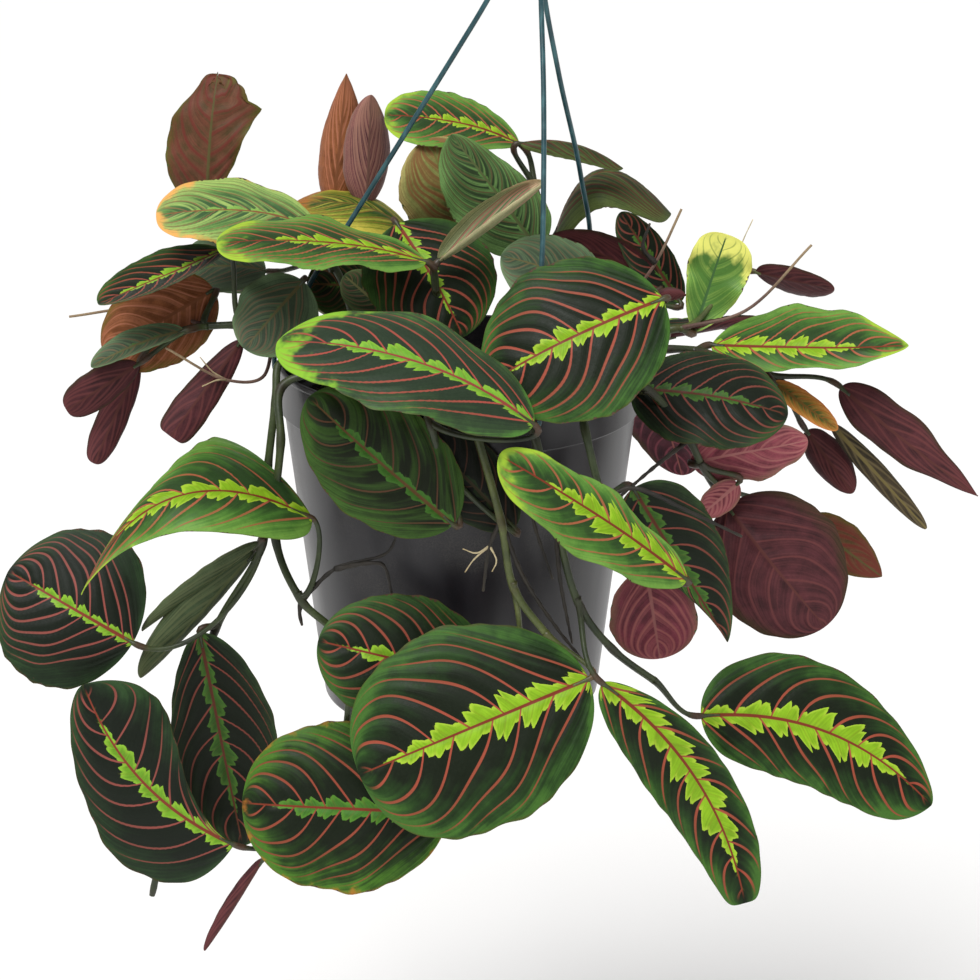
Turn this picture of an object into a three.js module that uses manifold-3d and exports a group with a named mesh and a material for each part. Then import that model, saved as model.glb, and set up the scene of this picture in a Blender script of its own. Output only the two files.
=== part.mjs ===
// A red-veined prayer plant (Maranta leuconeura) in a hanging plastic pot.
// Millimetres, +Z up. The pot stands with its underside at z = 0 while it is built;
// the whole group is then lowered so that the origin is where the hook hangs.
import * as THREE from "three";
import { mergeVertices } from "three/addons/utils/BufferGeometryUtils.js";
import Module from "manifold-3d";

const wasm = await Module();
wasm.setup();

// ---- driving dimensions -------------------------------------------------------------

const POT = {
  height: 165,
  baseRadius: 66,
  baseRounding: 3,
  wallTopRadius: 83,
  collarRadius: 85,
  collarHeight: 22,
  collarStep: 0.5, // bevel where the collar stands out from the wall
  collarLip: 1.5, // height over which the inside widens to the collar
  collarDraft: 0.4, // how much wider the collar's inside is at the rim
  wall: 1.6,
  floor: 2.4,
  sides: 32,
};

const SOIL = {
  edge: 140, // height of its surface at the pot's wall
  crown: 145, // and in the middle
  shoulder: 0.6, // share of the radius where the mound begins to fall
  shoulderDrop: 1.5,
  gap: 0.35, // to the pot
  sides: 28,
};

const STEM = {
  radius: 1.9,
  sides: 4,
  rooting: 22, // how deep the foot stands in the soil
  holeGap: 0.5,
  holeTop: 2, // how far its hole is cut above the soil's crown
  rise: 12, // straight up out of the soil before the first bend
  footRise: 9, // top of the straight foot, inside the stem that goes on from it
  sinking: 4, // of a stalk's root into the stem
  stepsPerSpan: 2,
};

const PETIOLE = {
  radius: 1.25,
  dryRadius: 0.9,
  sides: 3,
  steps: 3,
  bend: 0.35,
  underBlade: 0.06, // share of the rib that it runs on under
};

const BLADE = {
  thickness: 0.7,
  shoulder: 0.5, // exponent of the outline at the base: 0.5 is a round end
  point: 0.54, // exponent at the tip: larger is more pointed
  endHalfWidth: 0.6,
  droop: 0.05, // how far the margins hang below the rib, as a share of the width
  waves: 2.5,
  waveLag: 2, // radians that one margin's waves are behind the other's
  lengthCells: 4,
  widthCells: 4,
  narrow: 41, // blades narrower than this get fewer cells across
  narrowWidthCells: 2,
};

const WIRE = {
  radius: 1.2,
  sides: 6,
  steps: 12,
  rimHookSteps: 8,
  angles: { left: 174, front: -66, right: 54 },
  holeHeight: 156, // of the rim holes above the pot's underside
  insideRadius: 80.4,
  outsideRadius: 88.6,
  plumb: 12, // upright stretch just above the hole
  turn: 2.4, // bend radius of the end that hooks through the rim
  cornerShare: 0.3, // of the bend radius left at the middle of the bend
  upturn: 8,
  holeGap: 0.4,
  holeReach: 5, // of the hole's cut to each side of the collar's face
  holeSides: 12,
};

const NECK = {
  x: 35,
  bottom: 370,
  height: 16,
  radius: 6,
  taper: 0.8, // how much narrower its top is
  sides: 16,
  wireSpread: 3, // of the three wires from its axis
  wireDepth: 9,
};

const HOOK = {
  wireRadius: 2,
  bendRadius: 14,
  centreHeight: 417,
  root: 3, // how deep the shank starts in the neck
  shank: 6, // straight rise above the neck
  from: -55, // degrees round the bend, from the shank to the tip
  to: 200,
  by: 15,
  sides: 6,
  steps: 18,
};

const HANG_HEIGHT = HOOK.centreHeight + HOOK.bendRadius - HOOK.wireRadius;

// ---- the leafy stems ----------------------------------------------------------------
// foot: where the stem leaves the soil [x, y]. path: the points it then passes.
// Each leaf: at = the path point its stalk leaves (0 is the first after the foot),
// base and tip of the blade, width, face = the way its upper side looks,
// arch and sway = rise and sideways bow of the rib, fold = degrees each half is
// raised, twist = degrees the blade turns from base to tip, wave = of the margin,
// shoulder and point = exponents of the outline at base and tip where they aren't the
// usual ones, left and right = shares of the usual width on each side of the rib, near the
// base, in the middle and near the tip.

const leafyStems = [
  {
    name: "left_upright",
    foot: [-48, 12],
    path: [[-61, 14, 208], [-104, 22, 217]],
    leaves: [
      { at: 1, base: [-120, 30, 229], tip: [-114, 40, 292], width: 44, face: [0.15, 1, -0.1],
        arch: -5, fold: 14, wave: 2, point: 0.3, left: [0.4, 0.6, 1.2], right: [1.45, 1, 0.75] },
      { at: 0, base: [-65, 0, 227], tip: [-139, -12, 236], width: 56, face: [0, -0.36, 0.93],
        arch: 7, fold: 6, wave: 1, point: 0.42 },
      { at: 0, base: [-93, 32, 200], tip: [-141, 32, 197], width: 44, face: [0, -0.42, 0.9],
        arch: 5, fold: 8 },
    ],
  },
  {
    name: "back_left_furled",
    foot: [-28, 42],
    path: [[-41, 44, 198], [-49, 46, 216]],
    leaves: [
      { at: 1, base: [-61, 50, 227], tip: [-54, 52, 291], width: 42, face: [0.2, 1, 0],
        fold: 56, point: 1 },
      { at: 1, base: [-45, 42, 229], tip: [-42, 40, 283], width: 38, face: [-0.5, 0.85, 0],
        fold: 50, point: 0.62, left: [1.3, 1.8, 0.9], right: [0.8, 0.8, 0.8] },
      { at: 0, base: [-24, 38, 218], tip: [-80, 34, 231], width: 40, face: [0, -0.3, 0.95],
        arch: 8, fold: -6 },
      { at: 0, base: [-41, 36, 191], tip: [-73, 22, 196], width: 32, face: [0, -0.95, 0.3], arch: 3 },
    ],
  },
  {
    name: "middle_fork",
    foot: [-14, -14],
    path: [[-9, -22, 190], [-11, -28, 208]],
    leaves: [
      { at: 1, base: [-15, -34, 220], tip: [-108, -48, 231], width: 48, face: [0, -0.25, 0.97],
        arch: 6, fold: 4, wave: 2, point: 0.38 },
      { at: 1, base: [-9, -28, 219], tip: [39, -22, 254], width: 26, face: [0.2, -0.4, 0.9], fold: 64 },
      { at: 0, base: [-29, 0, 230], tip: [2, -32, 184], width: 62, face: [0.1, -0.8, 0.6], arch: 6 },
      { at: 0, base: [-33, -8, 189], tip: [-54, 2, 205], width: 22, face: [0, -0.9, 0.4], fold: 20 },
    ],
  },
  {
    name: "back_tall",
    foot: [22, 38],
    path: [[38, 42, 202], [40, 44, 220], [35, 50, 239]],
    leaves: [
      { at: 2, base: [28, 54, 257], tip: [-36, 46, 272], width: 50, face: [0.05, -0.42, 0.9],
        arch: 5, fold: 8, point: 0.4, left: [0.5, 1.1, 1.1], right: [0.9, 0.9, 0.9] },
      { at: 2, base: [28, 46, 259], tip: [78, 54, 245], width: 18, face: [0, -0.1, 1],
        arch: 6, fold: -50 },
      { at: 0, base: [-3, 36, 221], tip: [-15, 30, 264], width: 46, face: [-0.3, 0.9, 0.2], arch: -8 },
      { at: 0, base: [37, 18, 213], tip: [-4, 14, 269], width: 46, face: [-0.1, -0.85, 0.5],
        arch: 4, wave: 2, right: [1, 0.6, 0.4] },
    ],
  },
  {
    name: "back_right_arch",
    foot: [44, 34],
    path: [[43, 58, 179], [43, 70, 195]],
    leaves: [
      { at: 1, base: [45, 76, 204], tip: [103, 76, 218], width: 40, face: [0, -0.2, 1],
        arch: 30, fold: -30, point: 0.36 },
    ],
  },
  {
    name: "right_upright",
    foot: [50, 24],
    path: [[80, 24, 188]],
    twigs: [{ at: 0, path: [[92, 14, 208], [104, 18, 233]] }],
    leaves: [
      { at: 0, base: [95, 30, 194], tip: [42, 32, 216], width: 26, face: [0, 0.9, 0.4], arch: 5 },
      { at: 0, base: [105, 26, 186], tip: [76, 34, 228], width: 24, face: [-0.4, -0.8, 0.4], fold: 26 },
      { at: 0, base: [89, 8, 189], tip: [106, 4, 195], width: 16, face: [0, 0.6, 0.8], fold: 55 },
    ],
  },
  {
    name: "right_pale",
    foot: [66, 6],
    over: [84, 7, 172],
    path: [[100, 6, 178], [107, 8, 178]],
    twigs: [{ at: 1, path: [[134, 2, 188], [164, 4, 219]] }],
    leaves: [
      { at: 1, base: [111, 12, 175], tip: [126, 22, 220], width: 34, face: [0, -1, 0.3],
        arch: -4, fold: 12, wave: 3, point: 0.34, shoulder: 0.7, left: [0.75, 0.75, 0.85] },
      { at: 1, base: [141, 30, 200], tip: [177, 16, 195], width: 34, face: [0, 0.75, 0.6],
        fold: 20, left: [1, 1.2, 0.9], right: [0.6, 0.4, 0.5] },
      { at: 0, base: [99, 14, 172], tip: [146, 22, 178], width: 18, face: [0, 0.2, 1], fold: 58 },
    ],
  },
  {
    name: "right_long",
    foot: [62, -14],
    over: [84, -13, 171],
    path: [[97, -12, 173], [112, -8, 171], [146, -4, 158]],
    leaves: [
      { at: 1, base: [118, -4, 173], tip: [207, -24, 178], width: 42, face: [0, -0.57, 0.82],
        arch: 4, sway: 5, wave: 2, point: 0.7, left: [1.2, 1.5, 1.3], right: [0.62, 0.62, 0.62] },
      { at: 2, base: [147, -8, 156], tip: [177, -16, 135], width: 14, face: [0, -0.6, 0.8], fold: 14 },
      { at: 2, base: [179, -6, 153], tip: [243, -24, 105], width: 25, face: [0.2, 0.95, 0.1],
        arch: -3, fold: 16, wave: 2, point: 1 },
      { at: 2, base: [176, 0, 133], tip: [222, -10, 84], width: 22, face: [-0.5, 0.5, 0.5], fold: 70 },
      { at: 2, base: [165, 6, 128], tip: [188, 2, 98], width: 22, face: [0, 1, 0.1], fold: 36 },
    ],
  },
  {
    name: "right_low",
    foot: [54, -38],
    over: [70, -50, 173],
    path: [[88, -44, 161], [105, -48, 140], [112, -44, 125]],
    leaves: [
      { at: 0, base: [79, -34, 160], tip: [150, -46, 151], width: 54, face: [0, -0.64, 0.77],
        arch: 5, wave: 1 },
      { at: 2, base: [107, -38, 126], tip: [160, -42, 138], width: 34, face: [0, 0.9, 0.4], wave: 2 },
      { at: 2, base: [129, -38, 116], tip: [112, -40, 101], width: 15, face: [0, 1, 0] },
      { at: 2, base: [125, -30, 102], tip: [171, -46, 48], width: 70, face: [-0.1, 1, 0.1],
        arch: -6, left: [0.9, 0.84, 0.85], right: [1, 0.95, 0.9] },
      { at: 2, base: [164, -8, 88], tip: [201, -16, 62], width: 25, face: [0, 1, 0.1], point: 0.8 },
    ],
  },
  {
    name: "centre_large",
    foot: [34, -22],
    path: [[81, -62, 201]],
    leaves: [
      { at: 0, base: [90, -76, 213], tip: [12, -88, 177], width: 75, face: [0, -0.8, 0.6], arch: 7 },
      { at: 0, base: [69, -30, 201], tip: [19, -32, 222], width: 46, face: [0, -0.6, 0.8], arch: 4 },
    ],
  },
  {
    name: "front_centre",
    foot: [-22, -54],
    over: [-17, -85, 172],
    path: [[-12, -100, 163], [-8, -98, 146]],
    leaves: [
      { at: 0, base: [33, -114, 167], tip: [-78, -98, 199], width: 60, face: [0, -0.45, 0.89],
        arch: 15, wave: 2, point: 0.48 },
      { at: 1, base: [-2, -101, 117], tip: [-65, -96, 174], width: 54, face: [-0.1, -0.95, 0.2],
        arch: 5 },
      { at: 1, base: [25, -91, 112], tip: [-24, -94, 166], width: 34, face: [0.1, -0.98, 0.05],
        fold: -4 },
    ],
  },
  {
    name: "front_right",
    foot: [40, -50],
    over: [52, -68, 172],
    path: [[56, -90, 157], [64, -98, 127], [75, -98, 99]],
    leaves: [
      { at: 2, base: [101, -106, 93], tip: [18, -124, 156], width: 37, face: [0.25, -0.7, 0.65],
        arch: 4, fold: 14, wave: 3, point: 0.44, left: [1.1, 1.4, 1.4], right: [0.6, 0.7, 0.8] },
      { at: 1, base: [78, -80, 127], tip: [122, -84, 55], width: 50, face: [0.3, -0.9, 0.2],
        fold: 14, point: 0.8, left: [1.1, 0.85, 0.9], right: [1, 0.3, 0] },
      { at: 2, base: [85, -76, 87], tip: [92, -74, 43], width: 40, face: [0, 1, 0], arch: -4 },
    ],
  },
  {
    name: "trailing_right",
    foot: [16, -60],
    over: [26, -82, 172],
    path: [[34, -93, 154], [43, -98, 118], [54, -98, 78], [69, -98, 57], [91, -88, 36]],
    leaves: [
      { at: 2, base: [64, -114, 47], tip: [131, -108, -64], width: 41, face: [0.1, -0.95, 0.2],
        fold: 10, sway: -12, wave: 3, point: 0.2, left: [0.7, 0.95, 0.5], right: [1.5, 1.1, 0.55] },
      { at: 4, base: [111, -80, 17], tip: [219, -80, -28], width: 60, face: [0.1, -0.9, 0.4],
        arch: 3, sway: -14, point: 0.5, left: [1.3, 1, 0.45], right: [1.25, 0.5, 1.25] },
    ],
  },
  {
    name: "trailing_front",
    foot: [-3, -60],
    over: [4, -86, 172],
    path: [[8, -95, 158], [19, -99, 118], [25, -100, 86], [41, -104, 64]],
    leaves: [
      { at: 3, base: [58, -114, 49], tip: [-44, -126, 8], width: 92, face: [0, -0.9, 0.4],
        arch: 6, point: 0.4 },
      { at: 2, base: [16, -92, 38], tip: [-63, -98, 61], width: 60, face: [0, -0.9, 0.4],
        arch: 4, point: 0.5 },
    ],
  },
  {
    name: "trailing_left",
    foot: [-52, -40],
    over: [-68, -54, 172],
    path: [
      [-80, -56, 167], [-80, -66, 145], [-83, -72, 100], [-71, -84, 75], [-54, -84, 56],
      [-53, -80, 5], [-75, -76, -45],
    ],
    leaves: [
      { at: 3, base: [-66, -80, 113], tip: [-168, -98, 83], width: 70, face: [-0.1, -0.42, 0.9],
        arch: 38, fold: -8, point: 1.35, shoulder: 0.4, left: [0.6, 0.75, 0.9], right: [2.2, 0.7, 0.1] },
      { at: 5, base: [-5, -98, -23], tip: [-100, -90, -22], width: 78, face: [0, -0.95, 0.3],
        arch: 5, wave: 2, point: 0.44 },
      { at: 6, base: [-105, -84, -46], tip: [-171, -86, 35], width: 62, face: [0, -0.95, 0.25],
        arch: 4, sway: -10, wave: 2, left: [1.7, 0.8, 0.6], right: [0, 0.6, 1.5] },
      { at: 6, base: [-92, -80, -55], tip: [-121, -80, -103], width: 12, face: [0.3, 0.3, 0.9],
        fold: 62 },
    ],
  },
  {
    name: "trailing_far_left",
    foot: [-60, -22],
    over: [-82, -31, 172],
    path: [
      [-84, -40, 156], [-88, -46, 125], [-91, -50, 90], [-114, -50, 48],
      [-132, -34, -15], [-151, -34, -97],
    ],
    leaves: [
      { at: 2, base: [-151, -62, 46], tip: [-209, -50, 77], width: 78, face: [0, -0.9, 0.4], arch: 4 },
      { at: 2, base: [-92, -50, 91], tip: [-148, -52, 48], width: 20, face: [-0.5, 0.3, 0.8],
        fold: 66 },
      { at: 2, base: [-95, -46, 85], tip: [-149, -58, 27], width: 31, face: [0.3, 0.6, 0.8], fold: 58 },
      { at: 3, base: [-121, -54, 48], tip: [-103, -64, -56], width: 65, face: [-0.1, -0.95, 0.3],
        fold: 26, left: [0.95, 1.03, 0.85], right: [0.55, 0.85, 0.9] },
    ],
  },
  {
    name: "left_low",
    foot: [-64, 0],
    over: [-85, -3, 175],
    path: [[-89, -6, 181], [-102, -10, 184], [-121, -12, 184]],
    twigs: [
      { at: 0, path: [[-92, -14, 160], [-108, -22, 161], [-135, -28, 178]] },
      { at: 2, path: [[-151, 10, 187], [-184, 6, 184]] },
    ],
    leaves: [
      { at: 1, base: [-110, -8, 219], tip: [-164, -34, 200], width: 40, face: [-0.35, -0.3, 0.88],
        fold: 18 },
      { at: 0, base: [-72, -14, 206], tip: [-99, -26, 177], width: 40, face: [-0.2, -0.85, 0.45],
        wave: 2 },
      { at: 2, base: [-115, 2, 198], tip: [-166, -6, 168], width: 42, face: [0.1, 0.9, -0.2],
        arch: -5 },
      { at: 2, base: [-127, -20, 184], tip: [-169, -32, 170], width: 18, face: [-0.1, -0.5, 0.8],
        arch: 3, fold: 24 },
      { at: 2, base: [-149, -20, 168], tip: [-181, -34, 150], width: 20, face: [0.2, 0.9, 0.3],
        fold: 16, point: 0.34 },
      { at: 2, base: [-150, -12, 166], tip: [-171, -24, 121], width: 18, face: [0, 0.9, 0.3],
        fold: 34, point: 0.34 },
      { at: 1, base: [-101, -14, 178], tip: [-134, -30, 136], width: 19, face: [0.2, 0.9, 0.1],
        fold: 20, point: 0.16 },
    ],
  },
  {
    name: "back_left",
    foot: [-44, 34],
    over: [-60, 62, 174],
    path: [[-66, 72, 168], [-68, 84, 148]],
    leaves: [
      { at: 0, base: [-78, 72, 176], tip: [-140, 112, 168], width: 46, face: [-0.2, 0.3, 0.95],
        arch: 6 },
      { at: 1, base: [-64, 88, 136], tip: [-80, 160, 96], width: 52, face: [-0.3, 0.7, 0.6], arch: 6 },
    ],
  },
  {
    name: "back_middle_left",
    foot: [-12, 56],
    over: [-14, 86, 173],
    path: [[-16, 98, 164], [-18, 104, 130], [-12, 98, 84]],
    leaves: [
      { at: 0, base: [-22, 106, 172], tip: [-58, 176, 150], width: 54, face: [-0.3, 0.4, 0.9],
        arch: 8 },
      { at: 1, base: [-14, 114, 112], tip: [-34, 158, 35], width: 56, face: [-0.2, 0.8, 0.4], arch: 6 },
      { at: 2, base: [-6, 98, 70], tip: [4, 128, -12], width: 50, face: [0, 0.9, 0.3], arch: 5 },
    ],
  },
  {
    name: "back_middle_right",
    foot: [22, 54],
    over: [28, 82, 173],
    path: [[33, 96, 164], [38, 102, 128], [44, 94, 84]],
    leaves: [
      { at: 0, base: [36, 104, 170], tip: [72, 172, 146], width: 52, face: [0.3, 0.4, 0.9], arch: 8 },
      { at: 1, base: [44, 112, 112], tip: [54, 158, 42], width: 54, face: [0.2, 0.8, 0.4], arch: 6 },
      { at: 2, base: [46, 94, 70], tip: [54, 124, -4], width: 46, face: [0.1, 0.9, 0.3], arch: 5 },
    ],
  },
  {
    name: "back_right",
    foot: [54, 30],
    over: [74, 44, 173],
    path: [[82, 54, 166], [84, 62, 148]],
    leaves: [
      { at: 0, base: [92, 62, 166], tip: [158, 98, 148], width: 46, face: [0.2, 0.3, 0.95], arch: 6 },
      { at: 1, base: [90, 72, 132], tip: [114, 112, 72], width: 42, face: [0.3, 0.8, 0.4], arch: 6 },
    ],
  },
];

// ---- solids -------------------------------------------------------------------------

// A closed geometry as a manifold solid.
function solidOf(geometry) {
  const bare = geometry.index ? geometry.toNonIndexed() : geometry.clone();
  bare.deleteAttribute("normal");
  bare.deleteAttribute("uv");
  const merged = mergeVertices(bare, 1e-4);
  const solid = new wasm.Manifold(
    new wasm.Mesh({
      numProp: 3,
      vertProperties: merged.attributes.position.array,
      triVerts: new Uint32Array(merged.index.array),
    }),
  );
  return solid;
}

// The solid's surface as a geometry.
function geometryOf(solid) {
  const mesh = solid.getMesh();
  const geometry = new THREE.BufferGeometry();
  geometry.setAttribute("position", new THREE.BufferAttribute(mesh.vertProperties, 3));
  geometry.setIndex(new THREE.BufferAttribute(mesh.triVerts, 1));
  const flat = geometry.toNonIndexed();
  flat.computeVertexNormals();
  return flat;
}

const vector = (p) => new THREE.Vector3(...p);

const radians = THREE.MathUtils.degToRad;

// A round bar of the given radius along a curve.
function bar(curve, radius, sides, steps) {
  const section = new THREE.Shape();
  for (let k = 0; k < sides; k++) {
    const angle = (2 * Math.PI * k) / sides;
    const point = [radius * Math.cos(angle), radius * Math.sin(angle)];
    if (k === 0) section.moveTo(...point);
    else section.lineTo(...point);
  }
  section.closePath();
  return new THREE.ExtrudeGeometry(section, { steps, extrudePath: curve, bevelEnabled: false });
}

// A smooth curve that is stepped evenly from point to point, so a bar passes each one.
class JointedCurve extends THREE.CatmullRomCurve3 {
  getUtoTmapping(u) {
    return u;
  }
}

function curveThrough(points) {
  return new JointedCurve(points, false, "centripetal");
}

// ---- the leaf blade -----------------------------------------------------------------

// The blade's own directions: along the chord, up from its upper face, and across.
function bladeAxes(leaf) {
  const base = vector(leaf.base);
  const chord = vector(leaf.tip).sub(base);
  const length = chord.length();
  const along = chord.normalize();
  const face = vector(leaf.face);
  const up = face.addScaledVector(along, -face.dot(along)).normalize();
  const across = new THREE.Vector3().crossVectors(along, up);
  return { base, length, along, up, across };
}

// The rib at share s of the length, with its direction.
function rib(leaf, axes, s) {
  const { arch = 0, sway = 0 } = leaf;
  const bow = 4 * s * (1 - s);
  const slope = 4 * (1 - 2 * s);
  const point = axes.base
    .clone()
    .addScaledVector(axes.along, axes.length * s)
    .addScaledVector(axes.up, arch * bow)
    .addScaledVector(axes.across, sway * bow);
  const direction = axes.along
    .clone()
    .multiplyScalar(axes.length)
    .addScaledVector(axes.up, arch * slope)
    .addScaledVector(axes.across, sway * slope)
    .normalize();
  return { point, direction };
}

// Half the blade's width at share s of the length, on one side of the rib: side 1 is the
// right, seen from above with the tip ahead.
function halfWidth(leaf, s, side) {
  const { shoulder = BLADE.shoulder, point = BLADE.point } = leaf;
  const [near, middle, far] = (side > 0 ? leaf.right : leaf.left) ?? [1, 1, 1];
  const share = (1 - s) ** 2 * near + 2 * s * (1 - s) * middle + s * s * far;
  const widest = shoulder / (shoulder + point);
  const rise = (s / widest) ** shoulder;
  const fall = ((1 - s) / (1 - widest)) ** point;
  return Math.max((leaf.width / 2) * share * rise * fall, BLADE.endHalfWidth);
}

// A point of the blade's middle surface at share s along and t = -1 to 1 across,
// with the direction that its upper face looks there.
function bladePoint(leaf, axes, s, t) {
  const { fold = 0, twist = 0, wave = 0 } = leaf;
  const { point, direction } = rib(leaf, axes, s);
  const up = axes.up.clone().addScaledVector(direction, -axes.up.dot(direction)).normalize();
  up.applyAxisAngle(direction, radians(twist) * s);
  const across = new THREE.Vector3().crossVectors(direction, up);
  const half = halfWidth(leaf, s, t);
  const raise = radians(fold);
  const phase = t > 0 ? 0 : BLADE.waveLag;
  const ruffle = wave * Math.sin(2 * Math.PI * BLADE.waves * s + phase) * Math.sin(Math.PI * s);
  const lift = (ruffle - BLADE.droop * 2 * half) * t * t;
  point.addScaledVector(across, half * t * Math.cos(raise));
  point.addScaledVector(up, half * Math.abs(t) * Math.sin(raise) + lift);
  const lean = -Math.sign(t) * Math.sin(raise);
  const normal = up.multiplyScalar(Math.cos(raise)).addScaledVector(across, lean).normalize();
  return { point, normal };
}

// The blade as a closed thin solid: a grid for each face and a wall round the margin.
function blade(leaf) {
  const axes = bladeAxes(leaf);
  const rows = BLADE.lengthCells;
  const columns = leaf.width < BLADE.narrow ? BLADE.narrowWidthCells : BLADE.widthCells;
  const perRow = columns + 1;
  const perFace = (rows + 1) * perRow;
  const rowAt = (i) => (1 - Math.cos((Math.PI * i) / rows)) / 2; // closer at the ends
  const positions = [];
  for (const side of [1, -1])
    for (let i = 0; i <= rows; i++)
      for (let j = 0; j <= columns; j++) {
        const { point, normal } = bladePoint(leaf, axes, rowAt(i), (2 * j) / columns - 1);
        point.addScaledVector(normal, (side * BLADE.thickness) / 2);
        positions.push(point.x, point.y, point.z);
      }
  const index = [];
  for (let i = 0; i < rows; i++)
    for (let j = 0; j < columns; j++) {
      const a = i * perRow + j;
      const b = a + 1;
      const c = a + perRow;
      const d = c + 1;
      index.push(a, b, d, a, d, c);
      index.push(a + perFace, d + perFace, b + perFace, a + perFace, c + perFace, d + perFace);
    }
  const wall = (a, b) => index.push(a, a + perFace, b, b, a + perFace, b + perFace);
  for (let i = 0; i < rows; i++) {
    wall((i + 1) * perRow, i * perRow);
    wall(i * perRow + columns, (i + 1) * perRow + columns);
  }
  for (let j = 0; j < columns; j++) {
    wall(j, j + 1);
    wall(rows * perRow + j + 1, rows * perRow + j);
  }
  const geometry = new THREE.BufferGeometry();
  geometry.setAttribute("position", new THREE.Float32BufferAttribute(positions, 3));
  geometry.setIndex(index);
  return geometry;
}

// ---- stems and stalks ---------------------------------------------------------------

// The straight lower end of a stem, from its root in the soil to just above it.
function footCurve(stem, below, above) {
  const [x, y] = stem.foot;
  return new THREE.LineCurve3(
    new THREE.Vector3(x, y, SOIL.edge - STEM.rooting - below),
    new THREE.Vector3(x, y, SOIL.crown + above),
  );
}

// The rest of the stem: up from its foot, over the rim where it hangs, and on.
function stemCurve(stem) {
  const [x, y] = stem.foot;
  const rise = [
    [x, y, SOIL.crown + STEM.rise / 2],
    [x, y, SOIL.crown + STEM.rise],
  ];
  const over = stem.over ? [stem.over] : [];
  return curveThrough([...rise, ...over, ...stem.path].map(vector));
}

// Where a stalk leaves its stem, sunk into it, and the way the stem runs there.
function sprout(stem, at) {
  const before = at > 0 ? stem.path[at - 1] : stem.over ?? [...stem.foot, SOIL.crown];
  const joint = vector(stem.path[at]);
  const heading = joint.clone().sub(vector(before)).normalize();
  return { start: joint.addScaledVector(heading, -STEM.sinking), heading };
}

// The stalk leaves its stem along the stem and runs into the rib under the blade.
function petiole(stem, leaf) {
  const axes = bladeAxes(leaf);
  const { start, heading } = sprout(stem, leaf.at);
  const entry = rib(leaf, axes, 0);
  const reach = entry.point.distanceTo(start) * PETIOLE.bend;
  const bend = new THREE.CubicBezierCurve3(
    start,
    start.clone().addScaledVector(heading, reach),
    entry.point.clone().addScaledVector(entry.direction, -reach),
    entry.point,
  );
  const under = rib(leaf, axes, PETIOLE.underBlade).point;
  return curveThrough([...bend.getPoints(PETIOLE.steps - 1), under]);
}

// A dry stalk that has lost its blade.
function twig(stem, { at, path }) {
  const points = [sprout(stem, at).start, ...path.map(vector)];
  return bar(curveThrough(points), PETIOLE.dryRadius, PETIOLE.sides, points.length - 1);
}

function leafyStem(stem) {
  const { twigs = [] } = stem;
  const spans = stem.path.length + (stem.over ? 2 : 1);
  const foot = solidOf(bar(footCurve(stem, 0, STEM.footRise), STEM.radius, STEM.sides, 1));
  const rest = bar(stemCurve(stem), STEM.radius, STEM.sides, spans * STEM.stepsPerSpan);
  const body = twigs.reduce(
    (whole, dry) => whole.add(solidOf(twig(stem, dry))),
    foot.add(solidOf(rest)),
  );
  const whole = stem.leaves.reduce(
    (part, leaf) =>
      part
        .add(solidOf(bar(petiole(stem, leaf), PETIOLE.radius, PETIOLE.sides, PETIOLE.steps)))
        .add(solidOf(blade(leaf))),
    body,
  );
  return outerShell(whole);
}

// The solid without the tiny hollows that crossing blades can seal in.
function outerShell(solid) {
  return solid.decompose().reduce((a, b) => (b.volume() > a.volume() ? b : a));
}

// ---- pot and soil -------------------------------------------------------------------

function turned(profile, sides) {
  const points = profile.map(([radius, height]) => new THREE.Vector2(radius, height));
  return new THREE.LatheGeometry(points, sides).rotateX(Math.PI / 2);
}

// Outer radius of the plain wall at a height above the underside.
function wallRadius(height) {
  const share = height / (POT.height - POT.collarHeight);
  return POT.baseRadius + (POT.wallTopRadius - POT.baseRadius) * share;
}

function pot() {
  const { height, baseRounding, wall, floor } = POT;
  const { collarRadius, collarHeight, collarStep, collarLip, collarDraft } = POT;
  const step = height - collarHeight;
  const profile = [
    [0, 0],
    [POT.baseRadius - baseRounding, 0],
    [wallRadius(baseRounding), baseRounding],
    [wallRadius(step), step],
    [collarRadius - collarStep, step + collarStep],
    [collarRadius, height],
    [collarRadius - wall, height],
    [collarRadius - wall - collarDraft, step + collarLip],
    [wallRadius(step) - wall, step - collarLip],
    [wallRadius(floor) - wall, floor],
    [0, floor],
  ];
  return Object.values(WIRE.angles).reduce(
    (shell, angle) => shell.subtract(solidOf(rimHole(angle))),
    solidOf(turned(profile, POT.sides)),
  );
}

// A point at a wire's angle round the pot.
function atAngle(angle, radius, height) {
  const turn = radians(angle);
  return new THREE.Vector3(radius * Math.cos(turn), radius * Math.sin(turn), height);
}

function rimHole(angle) {
  const { holeHeight, holeReach, holeGap, holeSides } = WIRE;
  const through = new THREE.LineCurve3(
    atAngle(angle, POT.collarRadius - holeReach, holeHeight),
    atAngle(angle, POT.collarRadius + holeReach, holeHeight),
  );
  return bar(through, WIRE.radius + holeGap, holeSides, 1);
}

function soil() {
  const { edge, crown, shoulder, shoulderDrop, gap } = SOIL;
  const inside = (height) => wallRadius(height) - POT.wall - gap;
  const bottom = POT.floor + gap;
  const profile = [
    [0, bottom],
    [inside(bottom), bottom],
    [inside(edge), edge],
    [inside(edge) * shoulder, crown - shoulderDrop],
    [0, crown],
  ];
  return leafyStems.reduce(
    (bed, stem) => bed.subtract(solidOf(stemHole(stem))),
    solidOf(turned(profile, SOIL.sides)),
  );
}

// The plain hole that a stem stands in, a little wider and deeper than the stem.
function stemHole(stem) {
  const down = footCurve(stem, STEM.holeGap, STEM.holeTop);
  return bar(down, STEM.radius + STEM.holeGap, STEM.sides, 1);
}

// ---- hanger -------------------------------------------------------------------------

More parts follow.
